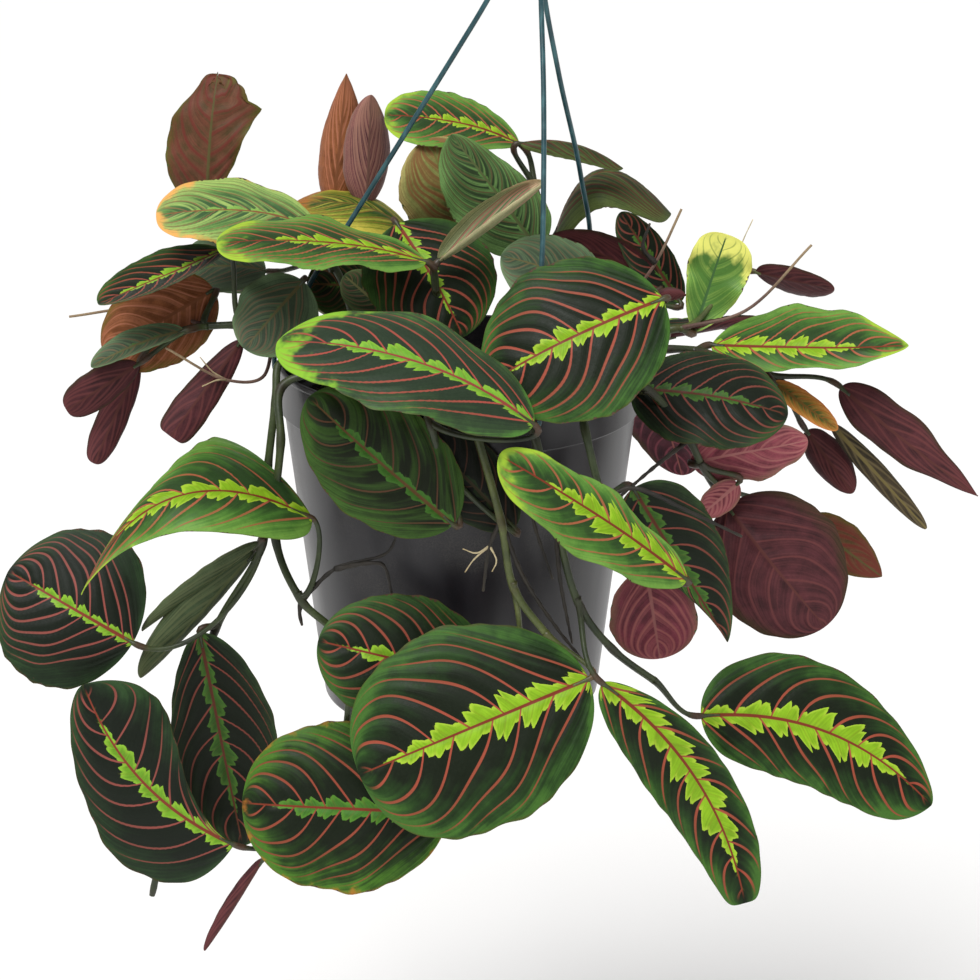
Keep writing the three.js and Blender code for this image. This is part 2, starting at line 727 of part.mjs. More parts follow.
// Points on the way from the neck to the rim, before the wire turns into its hole.
const wireWay = {
  left: [[13, 0, 333], [-1, 0, 310], [-49, 4, 233], [-73, 8, 194]],
  front: [[37, -10, 334], [38, -26, 298], [38, -42, 262], [37, -58, 222]],
  right: [[38, 8, 340], [46, 18, 296], [57, 38, 246], [62, 54, 204]],
};

// The wire from the neck down to the inside of the rim.
function wireCurve(side) {
  const angle = WIRE.angles[side];
  const { insideRadius, holeHeight, plumb } = WIRE;
  return curveThrough([
    neckHole(angle).setZ(NECK.bottom),
    neckHole(angle).setZ(NECK.bottom - 2),
    ...wireWay[side].map(vector),
    atAngle(angle, insideRadius, holeHeight + plumb),
    atAngle(angle, insideRadius, holeHeight + plumb / 2),
  ]);
}

// Its lower end: down inside the rim, out through the hole and up again.
function rimHook(angle) {
  const { insideRadius, outsideRadius, holeHeight, plumb, turn, upturn } = WIRE;
  const corner = turn * WIRE.cornerShare;
  return curveThrough([
    atAngle(angle, insideRadius, holeHeight + plumb / 2 + 1),
    atAngle(angle, insideRadius, holeHeight + turn),
    atAngle(angle, insideRadius + corner, holeHeight + corner),
    atAngle(angle, insideRadius + turn, holeHeight),
    atAngle(angle, outsideRadius - turn, holeHeight),
    atAngle(angle, outsideRadius - corner, holeHeight + corner),
    atAngle(angle, outsideRadius, holeHeight + turn),
    atAngle(angle, outsideRadius, holeHeight + upturn),
  ]);
}

// Where a wire enters the neck, seen from above.
function neckHole(angle) {
  return atAngle(angle, NECK.wireSpread, 0).add(new THREE.Vector3(NECK.x, 0, 0));
}

function wire(side) {
  const angle = WIRE.angles[side];
  const { radius, sides, steps, rimHookSteps } = WIRE;
  const inNeck = new THREE.LineCurve3(
    neckHole(angle).setZ(NECK.bottom + NECK.wireDepth),
    neckHole(angle).setZ(NECK.bottom - 1),
  );
  return solidOf(bar(inNeck, radius, sides, 1))
    .add(solidOf(bar(wireCurve(side), radius, sides, steps)))
    .add(solidOf(bar(rimHook(angle), radius, sides, rimHookSteps)));
}

// The crimped neck that holds the three wires, with the hook rising from it.
function hook() {
  const { x: middle, bottom, height, radius, taper, sides, wireDepth } = NECK;
  const sleeve = new THREE.CylinderGeometry(radius - taper, radius, height, sides)
    .rotateX(Math.PI / 2)
    .translate(middle, 0, bottom + height / 2);
  const bend = [];
  for (let angle = HOOK.from; angle <= HOOK.to; angle += HOOK.by)
    bend.push([
      middle + HOOK.bendRadius * Math.cos(radians(angle)),
      0,
      HOOK.centreHeight + HOOK.bendRadius * Math.sin(radians(angle)),
    ]);
  const shank = [
    [middle, 0, bottom + height - HOOK.root],
    [middle, 0, bottom + height + HOOK.shank],
  ];
  const curve = curveThrough([...shank, ...bend].map(vector));
  const whole = solidOf(sleeve).add(solidOf(bar(curve, HOOK.wireRadius, HOOK.sides, HOOK.steps)));
  return Object.values(WIRE.angles).reduce((part, angle) => {
    const mouth = neckHole(angle);
    const bore = new THREE.LineCurve3(
      mouth.clone().setZ(bottom - 2),
      mouth.clone().setZ(bottom + wireDepth + WIRE.holeGap),
    );
    return part.subtract(solidOf(bar(bore, WIRE.radius + WIRE.holeGap, WIRE.holeSides, 1)));
  }, whole);
}

// ---- the assembly -------------------------------------------------------------------

const materials = {
  pot: new THREE.MeshStandardMaterial({ color: 0x2e2d32, roughness: 0.35, metalness: 0 }),
  soil: new THREE.MeshStandardMaterial({ color: 0x241a13, roughness: 1, metalness: 0 }),
  wire: new THREE.MeshStandardMaterial({ color: 0x24474d, roughness: 0.4, metalness: 0 }),
  hook: new THREE.MeshStandardMaterial({ color: 0x24474d, roughness: 0.4, metalness: 0 }),
  foliage: new THREE.MeshStandardMaterial({ color: 0x2f5a2c, roughness: 0.5, metalness: 0 }),
};

const group = new THREE.Group();
group.name = "hanging_prayer_plant";
group.position.set(-NECK.x, 0, -HANG_HEIGHT);

function addPiece(name, geometry, material) {
  const mesh = new THREE.Mesh(geometry, material.clone());
  mesh.name = name;
  group.add(mesh);
}

addPiece("pot", geometryOf(pot()), materials.pot);
addPiece("soil", geometryOf(soil()), materials.soil);
addPiece("hook", geometryOf(hook()), materials.hook);
for (const side of Object.keys(WIRE.angles))
  addPiece(`hanger_wire_${side}`, geometryOf(wire(side)), materials.wire);
for (const stem of leafyStems)
  addPiece(`leafy_stem_${stem.name}`, geometryOf(leafyStem(stem)), materials.foliage);

export default group;
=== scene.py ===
import math

import bpy
import numpy as np
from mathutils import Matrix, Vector


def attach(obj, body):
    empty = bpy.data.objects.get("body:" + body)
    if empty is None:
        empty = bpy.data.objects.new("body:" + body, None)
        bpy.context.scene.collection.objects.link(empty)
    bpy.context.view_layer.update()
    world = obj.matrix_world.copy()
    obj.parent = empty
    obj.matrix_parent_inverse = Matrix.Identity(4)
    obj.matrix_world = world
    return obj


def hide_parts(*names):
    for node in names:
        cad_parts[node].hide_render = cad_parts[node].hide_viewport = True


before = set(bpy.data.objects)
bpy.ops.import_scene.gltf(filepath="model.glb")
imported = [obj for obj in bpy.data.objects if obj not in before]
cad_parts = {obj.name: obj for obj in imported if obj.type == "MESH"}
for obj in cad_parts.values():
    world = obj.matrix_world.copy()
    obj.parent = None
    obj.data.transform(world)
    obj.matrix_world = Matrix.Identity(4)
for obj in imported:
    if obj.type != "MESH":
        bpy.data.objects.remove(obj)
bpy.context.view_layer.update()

bl_info = {
    "name": "Hanging prayer plant",
    "version": (1, 0, 0),
    "blender": (4, 5, 0),
    "location": "View3D > Sidebar > Prayer plant",
    "description": "Dresses a prayer plant in a hanging pot: leaves, stalks, soil, pot and wires",
    "category": "Object",
}

# The plant's own places are in millimetres from the middle of the pot's underside, Z up.
# ORIGIN is the frame's origin there, in the bend of the hook.
ORIGIN = np.array([35.0, 0.0, 429.0])
MM = 0.001

POT_HEIGHT = 165.0
POT_BASE_RADIUS = 66.0
POT_WALL_TOP_RADIUS = 83.0
POT_COLLAR_RADIUS = 85.0
POT_COLLAR_HEIGHT = 22.0
POT_WALL = 1.6
POT_FLOOR = 2.4

SOIL_EDGE = 140.0
SOIL_CROWN = 145.0
SOIL_GAP = 0.5
CRUMB_SEED = 11

STEM_RADIUS = 1.9
STEM_ROOTING = 22.0
STEM_RISE = 12.0
STALK_RADIUS = 1.15
STALK_SINKING = 4.0
TWIG_RADIUS = 0.9
WISP_RADIUS = 1.2
# A straw against a withered stalk.
STRAW_SIZE = 0.4
# Stems with a lighter, younger skin.
YOUNG_STEMS = ("trailing_front", "right_pale", "back_left", "back_right")

BLADE_SHOULDER = 0.5
BLADE_POINT = 0.54
BLADE_DROOP = 0.05
BLADE_WAVES = 2.5
BLADE_WAVE_LAG = 2.0
VEIN_STAGGER = 0.4
USUAL_VEINS = 8
# Leaves narrower than this have less relief.
FULL_WIDTH = 50.0
FOLD_CURL = 1.85
FINE_RUFFLE = 0.25
BILLOW = 0.018
MARGIN_SWELL = 0.01
MARGIN_UNEASE = 0.02
RIB_SINK = 0.4
RIB_RIDGE = 0.7
VEIN_RIDGE = 0.25
# A torn leaf's halves: their width, as a share of the whole leaf's, at places along it.
TORN_AT = (0.0, 0.55, 0.68, 0.76, 0.82, 0.86, 0.92, 0.97, 1.0)
TORN_LONG_SIDE = (1.0, 1.0, 1.03, 1.12, 1.22, 0.78, 0.72, 0.8, 0.9)
TORN_SHORT_SIDE = (0.94, 0.98, 0.94, 0.88, 0.82, 0.74, 0.66, 0.7, 0.8)
TORN_JAG = 0.035

WIRE_RADIUS = 1.2
WIRE_ANGLES = {"left": 174.0, "front": -66.0, "right": 54.0}
RIM_HOLE_HEIGHT = 156.0
RIM_HOLE_RADIUS = 1.7
WIRE_INSIDE = 80.4
WIRE_OUTSIDE = 88.6
WIRE_TURN = 2.4
WIRE_UPTURN = 8.0
WIRE_PLUMB = 12.0

NECK_BOTTOM = 370.0
NECK_HEIGHT = 16.0
NECK_RADIUS = 6.0
NECK_TOP_RADIUS = 5.2
NECK_SPREAD = 3.0
NECK_DEPTH = 9.0

# The neck's crimps: where they lie, as shares of its height, their depth and their width.
NECK_CRIMPS = (0.3, 0.5, 0.7)
CRIMP_DEPTH = 0.35
CRIMP_WIDTH = 0.045

HOOK_RADIUS = 2.0
HOOK_BEND = 14.0
HOOK_CENTRE = 417.0

# How fine the meshes are: sides round an axis, and millimetres from ring to ring.
POT_SIDES = 160
SOIL_SIDES = 150
SOIL_RINGS = 46
NECK_SIDES = 48
HOOK_SIDES, HOOK_CELL = 18, 0.8
WIRE_SIDES, WIRE_CELL = 14, 1.1
STEM_SIDES, STEM_CELL = 12, 2.2
STALK_SIDES, STALK_CELL = 10, 1.6
TWIG_SIDES, TWIG_CELL = 8, 1.5
WISP_SIDES, WISP_CELL = 8, 1.2

# Steps from one stem's seed to the next, and from leaf to leaf on a stem.
STEM_STEP = 0.37
LEAF_STEP = 0.61
TWIG_STEP = 0.7

# The stage, in metres from where the hook hangs.
FLOOR_SIZE = 30.0
LIGHT_AIM = (-0.02, 0.0, -0.3)
KEY_PLACE = (-0.45, -0.75, 1.0)
FILL_PLACE = (1.6, -1.0, 0.4)
BACK_PLACE = (-0.9, 1.4, 0.6)
CAMERA_AIM = (-0.0209, 0.0, -0.3288)
CAMERA_LENS = 99.9

# ---- the leafy stems --------------------------------------------------------------
# foot: where the stem leaves the soil. path: the points it passes; over: a point on the
# way where it crosses the rim. Each leaf: the path point its stalk leaves, base and tip
# of the blade, its width, the way its upper side looks, then what sets it apart. twigs:
# dry shoots, each with its path point and its way. wisps and straws: the ways of dark and
# of pale withered stalks.
#
# What sets a leaf apart: arch and sway bend its rib up and across, in millimetres. fold
# curls its sides up and twist turns its tip, in degrees. wave ruffles its margin. shoulder
# and point shape its base and tip, blunter where small. left and right widen a side, near,
# midway and far. torn is how far its end is torn. veins counts them, sweep is how far they
# run forwards, and lean how that differs between its sides.

def leaf(at, base, tip, width, face, **traits):
    """One leaf: its place and size, and the traits that set it apart."""
    return {"at": at, "base": base, "tip": tip, "width": width, "face": face, **traits}


STEMS = {
    "left_upright": {
        "foot": (-48, 12),
        "path": [(-61, 14, 208), (-104, 22, 217)],
        "leaves": [
            leaf(1, (-120, 30, 229), (-114, 40, 292), 44, (0.15, 1, -0.1), look="bronze_back",
                 arch=-5, fold=14, wave=2, point=0.3, left=(0.4, 0.6, 1.2),
                 right=(1.45, 1, 0.75), torn=0.8, veins=7),
            leaf(0, (-65, 0, 227), (-139, -12, 236), 56, (0, -0.36, 0.93), look="bleached",
                 arch=7, fold=6, wave=1, point=0.42, sweep=1.4),
            leaf(0, (-93, 32, 200), (-141, 32, 197), 44, (0, -0.42, 0.9), look="dull", arch=5,
                 fold=8, sweep=1.6),
        ],
    },
    "back_left_furled": {
        "foot": (-28, 42),
        "path": [(-41, 44, 198), (-49, 46, 216)],
        "leaves": [
            leaf(1, (-61, 50, 227), (-54, 52, 291), 42, (0.2, 1, 0), look="rust", fold=56,
                 point=1, sweep=3, veins=6),
            leaf(1, (-45, 42, 229), (-42, 40, 283), 38, (-0.5, 0.85, 0), look="mauve_back",
                 fold=50, point=0.62, left=(1.3, 1.8, 0.9), right=(0.8, 0.8, 0.8), sweep=3,
                 veins=6),
            leaf(0, (-24, 38, 218), (-80, 34, 231), 40, (0, -0.3, 0.95), look="yellowed", arch=8,
                 fold=-6, sweep=2, veins=7),
            leaf(0, (-41, 36, 191), (-73, 22, 196), 32, (0, -0.95, 0.3), look="shaded", arch=3),
        ],
    },
    "middle_fork": {
        "foot": (-14, -14),
        "path": [(-9, -22, 190), (-11, -28, 208)],
        "leaves": [
            leaf(1, (-15, -34, 220), (-108, -48, 231), 48, (0, -0.25, 0.97), look="bright",
                 arch=6, fold=4, wave=2, point=0.38, sweep=1.7, veins=9),
            leaf(1, (-9, -28, 219), (39, -22, 254), 26, (0.2, -0.4, 0.9), look="blush", fold=64,
                 sweep=3, veins=6),
            leaf(0, (-29, 0, 230), (2, -32, 184), 62, (0.1, -0.8, 0.6), look="green", arch=6),
            leaf(0, (-33, -8, 189), (-54, 2, 205), 22, (0, -0.9, 0.4), look="furled", fold=20),
        ],
    },
    "back_tall": {
        "foot": (22, 38),
        "path": [(38, 42, 202), (40, 44, 220), (35, 50, 239)],
        "leaves": [
            leaf(2, (28, 54, 257), (-36, 46, 272), 50, (0.05, -0.42, 0.9), look="bright", arch=5,
                 fold=8, point=0.4, left=(0.5, 1.1, 1.1), right=(0.9, 0.9, 0.9)),
            leaf(2, (28, 46, 259), (78, 54, 245), 18, (0, -0.1, 1), look="plum_edge", arch=6,
                 fold=-50),
            leaf(0, (-3, 36, 221), (-15, 30, 264), 46, (-0.3, 0.9, 0.2), look="yellow_back",
                 arch=-8, sweep=1.6),
            leaf(0, (37, 18, 213), (-4, 14, 269), 46, (-0.1, -0.85, 0.5), look="streaky", arch=4,
                 wave=2, right=(1, 0.6, 0.4), sweep=1.6),
        ],
    },
    "back_right_arch": {
        "foot": (44, 34),
        "path": [(43, 58, 179), (43, 70, 195)],
        "leaves": [
            leaf(1, (45, 76, 204), (103, 76, 218), 40, (0, -0.2, 1), look="plum_edge", arch=30,
                 fold=-30, point=0.36, sweep=2),
        ],
    },
    "right_upright": {
        "foot": (50, 24),
        "path": [(80, 24, 188)],
        "twigs": [(0, [(92, 14, 208), (104, 18, 233)])],
        "wisps": [((92, 14, 208), (86, 14, 215), (89, 14, 227))],
        "leaves": [
            leaf(0, (95, 30, 194), (42, 32, 216), 26, (0, 0.9, 0.4), look="maroon_back", arch=5,
                 sweep=3),
            leaf(0, (105, 26, 186), (76, 34, 228), 24, (-0.4, -0.8, 0.4), look="dim", fold=26),
            leaf(0, (89, 8, 189), (106, 4, 195), 16, (0, 0.6, 0.8), look="maroon_back", fold=55),
        ],
    },
    "right_pale": {
        "foot": (66, 6),
        "over": (84, 7, 172),
        "path": [(100, 6, 178), (107, 8, 178)],
        "twigs": [(1, [(134, 2, 188), (164, 4, 219)])],
        "straws": [((107, 8, 178), (128, 30, 190), (134, 32, 213), (139, 32, 225))],
        "leaves": [
            leaf(1, (111, 12, 175), (126, 22, 220), 34, (0, -1, 0.3), look="pale", arch=-4,
                 fold=12, wave=3, point=0.34, shoulder=0.7, left=(0.75, 0.75, 0.85)),
            leaf(1, (141, 30, 200), (177, 16, 195), 34, (0, 0.75, 0.6), look="maroon_back",
                 fold=20, left=(1, 1.2, 0.9), right=(0.6, 0.4, 0.5), sweep=2, veins=6),
            leaf(0, (99, 14, 172), (146, 22, 178), 18, (0, 0.2, 1), look="maroon_back", fold=58),
        ],
    },
    "right_long": {
        "foot": (62, -14),
        "over": (84, -13, 171),
        "path": [(97, -12, 173), (112, -8, 171), (146, -4, 158)],
        "leaves": [
            leaf(1, (118, -4, 173), (207, -24, 178), 42, (0, -0.57, 0.82), look="bright", arch=4,
                 sway=5, wave=2, point=0.7, left=(1.2, 1.5, 1.3), right=(0.62, 0.62, 0.62),
                 sweep=1.2),
            leaf(2, (147, -8, 156), (177, -16, 135), 14, (0, -0.6, 0.8), look="scorched",
                 fold=14),
            leaf(2, (179, -6, 153), (243, -24, 105), 25, (0.2, 0.95, 0.1), look="maroon_back",
                 arch=-3, fold=16, wave=2, point=1, sweep=4.5, veins=5),
            leaf(2, (176, 0, 133), (222, -10, 84), 22, (-0.5, 0.5, 0.5), look="dull", fold=70,
                 sweep=3, veins=5),
            leaf(2, (165, 6, 128), (188, 2, 98), 22, (0, 1, 0.1), look="maroon_back", fold=36,
                 sweep=3.6, veins=5),
        ],
    },
    "right_low": {
        "foot": (54, -38),
        "over": (70, -50, 173),
        "path": [(88, -44, 161), (105, -48, 140), (112, -44, 125)],
        "wisps": [((105, -48, 140), (86, -78, 135), (70, -96, 127))],
        "leaves": [
            leaf(0, (79, -34, 160), (150, -46, 151), 54, (0, -0.64, 0.77), look="dim", arch=5,
                 wave=1),
            leaf(2, (107, -38, 126), (160, -42, 138), 34, (0, 0.9, 0.4), look="rose_back",
                 wave=2, sweep=1.5, veins=6),
            leaf(2, (129, -38, 116), (112, -40, 101), 15, (0, 1, 0), look="rose_back"),
            leaf(2, (125, -30, 102), (171, -46, 48), 70, (-0.1, 1, 0.1), look="maroon_back",
                 arch=-6, left=(0.9, 0.84, 0.85), right=(1, 0.95, 0.9), veins=6),
            leaf(2, (164, -8, 88), (201, -16, 62), 25, (0, 1, 0.1), look="bronze_back",
                 point=0.8, sweep=2, veins=6),
        ],
    },
    "centre_large": {
        "foot": (34, -22),
        "path": [(81, -62, 201)],
        "leaves": [
            leaf(0, (90, -76, 213), (12, -88, 177), 75, (0, -0.8, 0.6), look="vivid", arch=7),
            leaf(0, (69, -30, 201), (19, -32, 222), 46, (0, -0.6, 0.8), look="dull", arch=4),
        ],
    },
    "front_centre": {
        "foot": (-22, -54),
        "over": (-17, -85, 172),
        "path": [(-12, -100, 163), (-8, -98, 146)],
        "leaves": [
            # this leaf's greyer lamina is partly its own tone and partly painted sheen
            leaf(0, (33, -114, 167), (-78, -98, 199), 60, (0, -0.45, 0.89), look="dusky",
                 arch=15, wave=2, point=0.48, sweep=1.5, veins=8),
            leaf(1, (-2, -101, 117), (-65, -96, 174), 54, (-0.1, -0.95, 0.2), look="shaded",
                 arch=5, veins=6),
            # this leaf wears a darkened copy of the leaf colours: painted shade
            leaf(1, (25, -91, 112), (-24, -94, 166), 34, (0.1, -0.98, 0.05), look="night",
                 fold=-4),
        ],
    },
    "front_right": {
        "foot": (40, -50),
        "over": (52, -68, 172),
        "path": [(56, -90, 157), (64, -98, 127), (75, -98, 99)],
        "wisps": [((64, -98, 127), (76, -98, 133), (102, -98, 122), (126, -94, 109))],
        "leaves": [
            leaf(2, (101, -106, 93), (18, -124, 156), 37, (0.25, -0.7, 0.65), look="bright",
                 arch=4, fold=14, wave=3, point=0.44, left=(1.1, 1.4, 1.4),
                 right=(0.6, 0.7, 0.8), sweep=1.2),
            leaf(1, (78, -80, 127), (122, -84, 55), 50, (0.3, -0.9, 0.2), look="dim", fold=14,
                 point=0.8, left=(1.1, 0.85, 0.9), right=(1, 0.3, 0)),
            leaf(2, (85, -76, 87), (92, -74, 43), 40, (0, 1, 0), look="pink_back", arch=-4,
                 sweep=1.3, veins=6),
        ],
    },
    "trailing_right": {
        "foot": (16, -60),
        "over": (26, -82, 172),
        "path": [(34, -93, 154), (43, -98, 118), (54, -98, 78), (69, -98, 57), (91, -88, 36)],
        "wisps": [((34, -93, 154), (32, -97, 125), (42, -94, 89)),
            ((43, -98, 118), (45, -100, 93), (51, -96, 59))],
        "leaves": [
            leaf(2, (64, -114, 47), (131, -108, -64), 41, (0.1, -0.95, 0.2), look="vivid",
                 fold=10, sway=-12, wave=3, point=0.2, left=(0.7, 0.95, 0.5),
                 right=(1.5, 1.1, 0.55), lean=-0.2),
            leaf(4, (111, -80, 17), (219, -80, -28), 60, (0.1, -0.9, 0.4), look="vivid", arch=3,
                 sway=-14, point=0.5, left=(1.3, 1, 0.45), right=(1.25, 0.5, 1.25), lean=0.25),
        ],
    },
    "trailing_front": {
        "foot": (-3, -60),
        "over": (4, -86, 172),
        "path": [(8, -95, 158), (19, -99, 118), (25, -100, 86), (41, -104, 64)],
        "wisps": [((19, -99, 118), (29, -100, 92), (45, -99, 66), (60, -97, 46)),
            ((19, -99, 118), (14, -98, 106), (11, -96, 84))],
        "straws": [((14, -98, 106), (8, -99, 103), (2, -99, 105)),
            ((14, -98, 106), (7, -99, 100), (3, -99, 94)),
            ((14, -98, 106), (17, -101, 100), (15, -101, 95))],
        "leaves": [
            leaf(3, (58, -114, 49), (-44, -126, 8), 92, (0, -0.9, 0.4), look="vivid", arch=6,
                 point=0.4, veins=7),
            leaf(2, (16, -92, 38), (-63, -98, 61), 60, (0, -0.9, 0.4), look="green", arch=4,
                 point=0.5),
        ],
    },
    "trailing_left": {
        "foot": (-52, -40),
        "over": (-68, -54, 172),
        "path": [(-80, -56, 167), (-80, -66, 145), (-83, -72, 100), (-71, -84, 75),
                 (-54, -84, 56), (-53, -80, 5), (-75, -76, -45)],
        "wisps": [((-71, -84, 75), (-56, -78, 88), (-32, -84, 98), (-27, -84, 108)),
            ((-56, -78, 88), (-39, -84, 93), (-34, -84, 92), (-30, -82, 76)),
            ((-71, -84, 75), (-72, -84, 69), (-71, -84, 63))],
        "leaves": [
            leaf(3, (-66, -80, 113), (-168, -98, 83), 70, (-0.1, -0.42, 0.9), look="bright",
                 arch=38, fold=-8, point=1.35, shoulder=0.4, left=(0.6, 0.75, 0.9),
                 right=(2.2, 0.7, 0.1)),
            leaf(5, (-5, -98, -23), (-100, -90, -22), 78, (0, -0.95, 0.3), look="orange_tip",
                 arch=5, wave=2, point=0.44),
            leaf(6, (-105, -84, -46), (-171, -86, 35), 62, (0, -0.95, 0.25), look="dark", arch=4,
                 sway=-10, wave=2, left=(1.7, 0.8, 0.6), right=(0, 0.6, 1.5)),
            leaf(6, (-92, -80, -55), (-121, -80, -103), 12, (0.3, 0.3, 0.9), look="maroon_back",
                 fold=62, sweep=4, veins=5),
        ],
    },
    "trailing_far_left": {
        "foot": (-60, -22),
        "over": (-82, -31, 172),
        "path": [(-84, -40, 156), (-88, -46, 125), (-91, -50, 90), (-114, -50, 48),
                 (-132, -34, -15), (-151, -34, -97)],
        "leaves": [
            leaf(2, (-151, -62, 46), (-209, -50, 77), 78, (0, -0.9, 0.4), look="dark", arch=4),
            leaf(2, (-92, -50, 91), (-148, -52, 48), 20, (-0.5, 0.3, 0.8), look="furled",
                 fold=66, sweep=3, veins=6),
            leaf(2, (-95, -46, 85), (-149, -58, 27), 31, (0.3, 0.6, 0.8), look="furled", fold=58,
                 sweep=3, veins=6),
            leaf(3, (-121, -54, 48), (-103, -64, -56), 65, (-0.1, -0.95, 0.3), look="dim",
                 fold=26, left=(0.95, 1.03, 0.85), right=(0.55, 0.85, 0.9)),
        ],
    },
    "left_low": {
        "foot": (-64, 0),
        "over": (-85, -3, 175),
        "path": [(-89, -6, 181), (-102, -10, 184), (-121, -12, 184)],
        "twigs": [(0, [(-92, -14, 160), (-108, -22, 161), (-135, -28, 178)]),
                  (2, [(-151, 10, 187), (-184, 6, 184)])],
        "straws": [((-108, -22, 161), (-114, -23, 165), (-120, -22, 172)),
            ((-108, -22, 161), (-112, -26, 162), (-119, -26, 159))],
        "leaves": [
            leaf(1, (-110, -8, 219), (-164, -34, 200), 40, (-0.35, -0.3, 0.88), look="green",
                 fold=18),
            leaf(0, (-72, -14, 206), (-99, -26, 177), 40, (-0.2, -0.85, 0.45), look="dull",
                 wave=2, sweep=1.4),
            leaf(2, (-115, 2, 198), (-166, -6, 168), 42, (0.1, 0.9, -0.2), look="rust", arch=-5),
            leaf(2, (-127, -20, 184), (-169, -32, 170), 18, (-0.1, -0.5, 0.8), look="dull",
                 arch=3, fold=24),
            leaf(2, (-149, -20, 168), (-181, -34, 150), 20, (0.2, 0.9, 0.3), look="maroon_back",
                 fold=16, point=0.34, sweep=3.4, veins=5),
            leaf(2, (-150, -12, 166), (-171, -24, 121), 18, (0, 0.9, 0.3), look="maroon_back",
                 fold=34, point=0.34, sweep=3.4, veins=5),
            leaf(1, (-101, -14, 178), (-134, -30, 136), 19, (0.2, 0.9, 0.1), look="maroon_back",
                 fold=20, point=0.16, sweep=3, veins=5),
        ],
    },
    "back_left": {
        "foot": (-44, 34),
        "over": (-60, 62, 174),
        "path": [(-66, 72, 168), (-68, 84, 148)],
        "leaves": [
            leaf(0, (-78, 72, 176), (-140, 112, 168), 46, (-0.2, 0.3, 0.95), look="green",
                 arch=6),
            leaf(1, (-64, 88, 136), (-80, 160, 96), 52, (-0.3, 0.7, 0.6), look="dark", arch=6),
        ],
    },
    "back_middle_left": {
        "foot": (-12, 56),
        "over": (-14, 86, 173),
        "path": [(-16, 98, 164), (-18, 104, 130), (-12, 98, 84)],
        "leaves": [
            leaf(0, (-22, 106, 172), (-58, 176, 150), 54, (-0.3, 0.4, 0.9), look="vivid", arch=8),
            leaf(1, (-14, 114, 112), (-34, 158, 35), 56, (-0.2, 0.8, 0.4), look="green", arch=6),
            leaf(2, (-6, 98, 70), (4, 128, -12), 50, (0, 0.9, 0.3), look="dark", arch=5),
        ],
    },
    "back_middle_right": {
        "foot": (22, 54),
        "over": (28, 82, 173),
        "path": [(33, 96, 164), (38, 102, 128), (44, 94, 84)],
        "leaves": [
            leaf(0, (36, 104, 170), (72, 172, 146), 52, (0.3, 0.4, 0.9), look="green", arch=8),
            leaf(1, (44, 112, 112), (54, 158, 42), 54, (0.2, 0.8, 0.4), look="vivid", arch=6),
            leaf(2, (46, 94, 70), (54, 124, -4), 46, (0.1, 0.9, 0.3), look="dark", arch=5),
        ],
    },
    "back_right": {
        "foot": (54, 30),
        "over": (74, 44, 173),
        "path": [(82, 54, 166), (84, 62, 148)],
        "leaves": [
            leaf(0, (92, 62, 166), (158, 98, 148), 46, (0.2, 0.3, 0.95), look="green", arch=6),
            leaf(1, (90, 72, 132), (114, 112, 72), 42, (0.3, 0.8, 0.4), look="dark", arch=6),
        ],
    },
}


# ---- paint and shader helpers -----------------------------------------------------


def paint(code):
    """A hex colour as the linear red, green, blue, alpha that shaders use."""
    parts = [int(code[i : i + 2], 16) / 255 for i in (1, 3, 5)]
    linear = [c / 12.92 if c <= 0.04045 else ((c + 0.055) / 1.055) ** 2.4 for c in parts]
    return (*linear, 1.0)


class Value:
    """What a shader node gives; plain arithmetic on it adds maths nodes."""

    def __init__(self, kit, socket):
        self.kit = kit
        self.socket = socket

    def __add__(self, other):
        return self.kit.math("ADD", self, other)

    def __sub__(self, other):
        return self.kit.math("SUBTRACT", self, other)

    def __rsub__(self, other):
        return self.kit.math("SUBTRACT", other, self)

    def __mul__(self, other):
        return self.kit.math("MULTIPLY", self, other)

    def __pow__(self, other):
        return self.kit.math("POWER", self, other)

    def __gt__(self, other):
        return self.kit.math("GREATER_THAN", self, other)

    def __abs__(self):
        return self.kit.math("ABSOLUTE", self)


